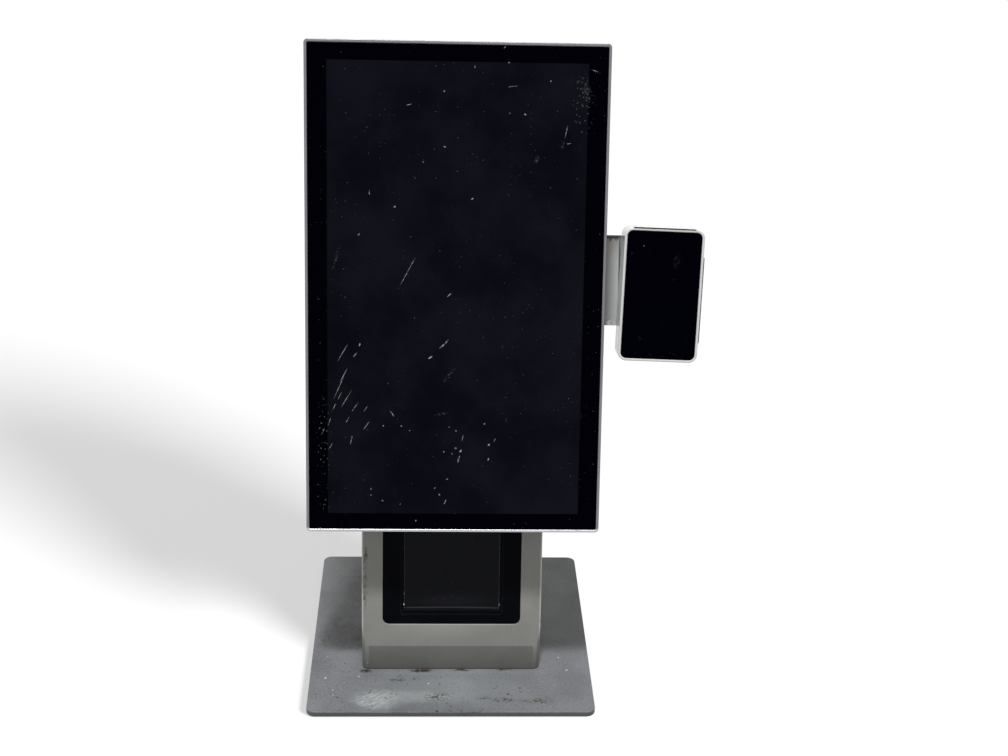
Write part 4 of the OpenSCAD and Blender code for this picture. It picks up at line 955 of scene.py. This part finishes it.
shell = solid_copy("pedestal_shell", "pedestal_sheet")
ease(shell, outer_fold(centre("printer_bezel", UPRIGHT)), 1.4 * MM)
ease_all(shell, 0.45)
settle(shell, "pedestal_shell")

eased_copy("pedestal_rear_cover", "pedestal_back_sheet", 0.3)

# %% [markdown]
# The grommet in the rear cover is a rubber ring whose groove snaps over the sheet. It could be turned
# from a short tube, but its CAD copy has the groove already, so its edges are rounded.

# %% Cable grommet
eased_copy("cable_grommet", "rubber_grommet", 0.7, 3)

# %% [markdown]
# ## Printer panel and door
# Panel and door come from a polished mould. Their edges are crisp, and a narrow bevel with a painted
# highlight on it gives the thin bright outline that the door shows.

# %% Printer panel and door
eased_copy("printer_bezel", "printer_panel", 0.4, finish="panel_abs")

eased_copy("printer_door", "printer_door_panel", 0.4, finish="door_abs")

# %% [markdown]
# ## Buttons
# The feed key, the power key and the terminal's key are round moulded caps. Each starts from its CAD
# copy; the outer end is inset and pushed in a little for the fingertip, and the edges are eased. The
# status lens goes the same way, but its face is raised.

# %% Dished button caps
def dished(node, name, axis, sign, margin, depth, turn):
    piece = squared_copy(node, name, turn)
    outer = max(v.co[axis] * sign for v in piece.data.vertices)
    at_end = looks(axis, sign)
    open_at(piece, "FACE", lambda f: at_end(f) and abs(f.calc_center_median()[axis] * sign - outer) < NEAR)
    bpy.ops.mesh.inset(thickness=margin * MM)
    bpy.ops.transform.translate(value=inward(axis, sign, depth * MM))
    bpy.ops.object.mode_set(mode="OBJECT")
    ease_all(piece, 0.35, 3, 30)
    settle(piece, node, turn=turn)


dished("feed_button", "feed_key_cap", 1, -1, 1.0, 0.35, LEANING)
dished("power_button", "power_key_cap", 1, 1, 1.4, 0.5, LEANING)
dished("terminal_button", "terminal_key_cap", 0, 1, 1.1, 0.35, TERMINAL)
dished("status_lens", "status_light_pipe", 1, -1, 0.8, -0.2, LEANING)

# %% [markdown]
# ## Display
# The rim is one aluminium extrusion, mitred at the corners. A block of the outer size gets its corners
# rounded, its front is sunk for the glass, and three openings are cut through: the ledge behind the
# glass, the space for the panel and the seat of the rear cover. The front edges are rounded most,
# because they are what catches the light.

# %% Display rim
RIM = 3.0
RIM_RADIUS = 4 * MM
LEDGE = 8.0
REAR_LEDGE = 2.0
FIT = 0.3
INNER_RADIUS = 1.5 * MM
# The cutters reach past the rim, so that they cut through.
PAST = 80
PAST_BACK = 5 * MM


def rim_at(sign, level):
    """Test for edges round a flat face that looks forwards or backwards, at one depth."""
    rim = rim_of(1, sign)
    return lambda edge: rim(edge) and all(abs(v.co.y - level) < NEAR for v in edge.verts)


low, high = span("display_frame")
glass_low, glass_high = span("cover_glass")
chassis_low, chassis_high = span("panel_chassis")
back_low, back_high = span("display_rear_cover")
rim = rounded_block("display_rim", low, high, 1, RIM_RADIUS)
sink(rim, 1, -1, RIM * MM, glass_high.y - low.y)
window = grown(glass_low, glass_high, (FIT - LEDGE, PAST, FIT - LEDGE))
cut_away(rim, rounded_block("window", *window, 1, INNER_RADIUS))
space_low, space_high = grown(chassis_low, chassis_high, (FIT, 0, FIT))
space_high.y = back_low.y - REAR_LEDGE * MM
cut_away(rim, rounded_block("space", space_low, space_high, 1, INNER_RADIUS))
seat_low, seat_high = grown(back_low, back_high, (FIT, 0, FIT))
seat_high.y = high.y + PAST_BACK
cut_away(rim, rounded_block("seat", seat_low, seat_high, 1, INNER_RADIUS))
ease(rim, rim_at(-1, low.y), 0.8 * MM, 4)
ease(rim, rim_of(1, 1), 0.3 * MM, 2)
settle(rim, "display_frame", finish="rim_aluminium", turn=LEANING)

# %% [markdown]
# The glass is a thin slab with ground edges. The rear cover is a flat sheet with vents, whose CAD copy
# is eased, and the mount behind it is a folded steel channel.

# %% Cover glass, rear cover and mount
glass = rounded_block("touch_glass", glass_low, glass_high, 1, INNER_RADIUS)
ease(glass, rim_of(1, -1), 0.35 * MM, 3)
settle(glass, "cover_glass", turn=LEANING)

eased_copy("display_rear_cover", "display_back_sheet", 0.3)

eased_copy("display_mount", "display_mount_channel", 0.6, 3)

# %% [markdown]
# ## Card terminal
# The terminal's case is moulded in two white halves. The front half is a rounded block with a softly
# rounded rim, sunk for the glass and opened behind it. The back half keeps its slot and key hole from
# the CAD copy, and its rear edge is rounded so that it lies well in a hand. Before the card slot the top
# is cut down by a millimetre, so that the slot's throat shows from the front; painted black, it stands
# for the shade inside the slot.

# %% Terminal case and glass
TERMINAL_RIM = 3.0
GLASS_LAP = 0.15
CASE_RADIUS = 9 * MM
GLASS_RADIUS = 6 * MM
OPENING_RADIUS = 3 * MM
SLOT_HALF = 33.0
SLOT_DEPTH = 1.6
NOTCH = 1.1
low, high = span("terminal_front_bezel", TERMINAL)
glass_low, glass_high = span("terminal_glass", TERMINAL)
bezel = rounded_block("terminal_front_case", low, high, 1, CASE_RADIUS, 14)
sink(bezel, 1, -1, (TERMINAL_RIM - GLASS_LAP) * MM, glass_high.y - low.y)
opening = grown(glass_low, glass_high, (-TERMINAL_RIM, PAST / 2, -TERMINAL_RIM))
cut_away(bezel, rounded_block("opening", *opening, 1, OPENING_RADIUS))
ease(bezel, rim_at(-1, low.y), 1.0 * MM, 4)
middle = (low + high) / 2
notch_low = Vector((middle.x - SLOT_HALF * MM, low.y - MM, high.z - NOTCH * MM))
notch_high = Vector((middle.x + SLOT_HALF * MM, high.y + SLOT_DEPTH * MM, high.z + MM))
cut_away(bezel, block("notch", notch_low, notch_high))
settle(bezel, "terminal_front_bezel", turn=TERMINAL)

terminal_face = rounded_block("terminal_touch_glass", glass_low, glass_high, 1, GLASS_RADIUS, 14)
ease(terminal_face, rim_of(1, -1), 0.3 * MM, 3)
settle(terminal_face, "terminal_glass", finish="terminal_glass", turn=TERMINAL)

case = squared_copy("terminal_back_shell", "terminal_back_case", TERMINAL)
shell_low, shell_high = span("terminal_back_shell", TERMINAL)
ease(case, rim_at(1, shell_high.y), 2.2 * MM, 5)
cut_away(case, block("notch", notch_low, notch_high))
ease_all(case, 0.15)
settle(case, "terminal_back_shell", turn=TERMINAL)

# %% Painted shade in the card slot's throat
THROAT_START = 1.1 * MM
THROAT_END = 3.7 * MM
THROAT_DROP = 2.1 * MM
THROAT_HALF = (SLOT_HALF + 0.4) * MM
LOOKS_UP = 0.95
# Painted shade: the throat's faces get black ABS, standing for the shade inside the slot.
case.data.materials.append(FINISH["black_abs"])
throat = 0
for face in case.data.polygons:
    spot = TERMINAL.inverted() @ face.center
    way = TERMINAL.inverted() @ face.normal
    deep = THROAT_START < spot.y - shell_low.y < THROAT_END
    inside = abs(spot.x - middle.x) < THROAT_HALF and spot.z > shell_high.z - THROAT_DROP
    if deep and inside and way.z < LOOKS_UP:
        face.material_index = 1
        throat += 1
print("faces in the slot's throat:", throat)

# %% [markdown]
# The bracket is a flat painted sheet, the holder a moulded plate, and the swipe rail a black strip along
# the terminal's right side.

# %% Bracket, holder and swipe rail
eased_copy("terminal_bracket", "terminal_side_bracket", 0.5, 3, finish="bracket_paint")

eased_copy("terminal_holder", "terminal_holder_plate", 0.6, 3)

low, high = span("swipe_rail", TERMINAL)
rail = rounded_block("card_swipe_rail", low, high, 0, 2.5 * MM, 6)
ease(rail, rim_of(0, 1), 0.6 * MM, 3)
settle(rail, "swipe_rail", turn=TERMINAL)

# %% [markdown]
# ## Screws
# The screws that show are pan heads with a cross recess. One node holds several screws, so a merged copy
# is eased, parted into its loose screws, and a cross is cut into each head with two crossing blocks.

# %% Cross-headed screws
CROSS = ((0.3, 0.075), (0.075, 0.3))
CROSS_DEPTH = 0.14


def crossed_screws(node, name, sign):
    """Screws along the leaning frame's depth, with their heads towards one side."""
    piece = squared_copy(node, name, LEANING)
    ease_all(piece, 0.35, 3)
    bpy.ops.object.mode_set(mode="EDIT")
    bpy.ops.mesh.select_all(action="SELECT")
    bpy.ops.mesh.separate(type="LOOSE")
    bpy.ops.object.mode_set(mode="OBJECT")
    screws = list(bpy.context.selected_objects)
    for screw in screws:
        points = [v.co.copy() for v in screw.data.vertices]
        end = max(p.y * sign for p in points) * sign
        middle = (Vector(map(max, zip(*points))) + Vector(map(min, zip(*points)))) / 2
        width = max(p.x for p in points) - min(p.x for p in points)
        for across, up in CROSS:
            half = width * Vector((across, CROSS_DEPTH, up))
            at = Vector((middle.x, end, middle.z))
            cut_away(screw, block("cross", at - half, at + half))
    alone(screws[0])
    for screw in screws:
        screw.select_set(True)
    bpy.ops.object.join()
    joined = bpy.context.object
    joined.name = joined.data.name = name
    settle(joined, node, turn=LEANING)


for node, name, sign in (
    ("rear_cover_screws", "pedestal_back_screws", 1),
    ("display_cover_screws", "display_back_screws", 1),
    ("bracket_screws", "side_bracket_screws", 1),
    ("vesa_screws", "mount_plate_screws", 1),
    ("mount_bolts", "mount_channel_bolts", -1),
):
    crossed_screws(node, name, sign)

# %% [markdown]
# ## Inside parts
# The door opens on the printer, so its parts get their finishes too. Their CAD solids are right as they
# are; a few that show most are eased. All other nodes keep their own mesh and only change material.

# %% Printer parts behind the door
for node, name, width in (
    ("printer_chassis", "printer_bucket", 0.3),
    ("paper_roll", "receipt_roll", 0.5),
    ("platen_roller", "rubber_platen", 0.4),
    ("tear_bar", "serrated_tear_bar", 0.1),
):
    eased_copy(node, name, width)

kept = [name for name, node in NODES.items() if not node.hide_render]
for name in kept:
    NODES[name].data.materials.clear()
    NODES[name].data.materials.append(FINISH[SLOT_OF[name]])
print("CAD nodes with a new finish:", len(kept))

# %% [markdown]
# ## Studio
# The kiosk stands on a plain white floor under an even white world. One soft lamp hangs above and in
# front, and drops the display's shadow on the pedestal and on the plate. A second, low lamp from the
# right draws one soft shadow on the floor, to the left. One lamp could do both, but then the shadow could
# not be placed by itself, so light linking gives the kiosk to the first lamp and the floor to the second.
# The world, seen directly, in metal or through glass, is plain white; as light it is softer.

# %% World and floor
SOFT_LIGHT = 0.32
FLOOR_GLOW = 0.57
FLOOR_SIZE = 14
FLOOR_DROP = 0.3 * MM


def seen_directly(tree):
    """1 for rays that show a surface: from the camera, off a glossy surface or through glass."""
    rays = add(tree, "LightPath")
    shown = {0: rays.outputs["Is Camera Ray"], 1: rays.outputs["Is Glossy Ray"]}
    shown = add(tree, "Math", shown, operation="MAXIMUM")
    return add(tree, "Math", {0: shown, 1: rays.outputs["Is Transmission Ray"]}, operation="MAXIMUM")


world = bpy.data.worlds.new("white_studio")
tree = empty_tree(world)
level = add(tree, "MapRange", {0: seen_directly(tree), 3: SOFT_LIGHT})
sky = add(tree, "Background", {"Color": (1, 1, 1, 1), "Strength": level})
add(tree, "OutputWorld", {"Surface": sky})
bpy.context.scene.world = world

bpy.ops.object.select_all(action="DESELECT")
bpy.ops.mesh.primitive_plane_add(size=FLOOR_SIZE, location=(0, 0, -FLOOR_DROP))
floor = bpy.context.object
floor.name = "studio_floor"
material = bpy.data.materials.new("white_studio_floor")
tree = empty_tree(material)
seen = seen_directly(tree)
paper = add(tree, "Mix", {0: seen, 6: colour("#818181"), 7: colour("#9a9a9a")}, data_type="RGBA")
sheet = add(tree, "BsdfDiffuse", {"Color": paper})
glow = add(tree, "Math", {0: seen, 1: FLOOR_GLOW}, operation="MULTIPLY")
glow = add(tree, "Emission", {"Strength": glow})
add(tree, "OutputMaterial", {"Surface": add(tree, "AddShader", {0: sheet, 1: glow})})
floor.data.materials.append(material)
print("world light:", SOFT_LIGHT, "floor glow:", FLOOR_GLOW)

# %% Lamps
LAMP_DISTANCE = 2
# Each lamp: the way its light runs, its level, its spread in degrees, and what it does with the floor.
for name, run, level, spread, state in (
    ("soft_lamp", (0.05, 0.245, -1), 0.68, 7, "EXCLUDE"),
    ("floor_lamp", (-0.8, 0.65, -0.7), 2.0, 18, "INCLUDE"),
):
    run = Vector(run).normalized()
    bpy.ops.object.select_all(action="DESELECT")
    bpy.ops.object.light_add(type="SUN", location=-LAMP_DISTANCE * run)
    lamp = bpy.context.object
    lamp.name = name
    lamp.data.energy = level * pi
    lamp.data.angle = radians(spread)
    lamp.rotation_euler = run.to_track_quat("-Z", "Y").to_euler()
    linked = bpy.data.collections.new(name + "_floor_link")
    linked.objects.link(floor)
    linked.collection_objects[0].light_linking.link_state = state
    lamp.light_linking.receiver_collection = linked
    print(name, "level:", level)
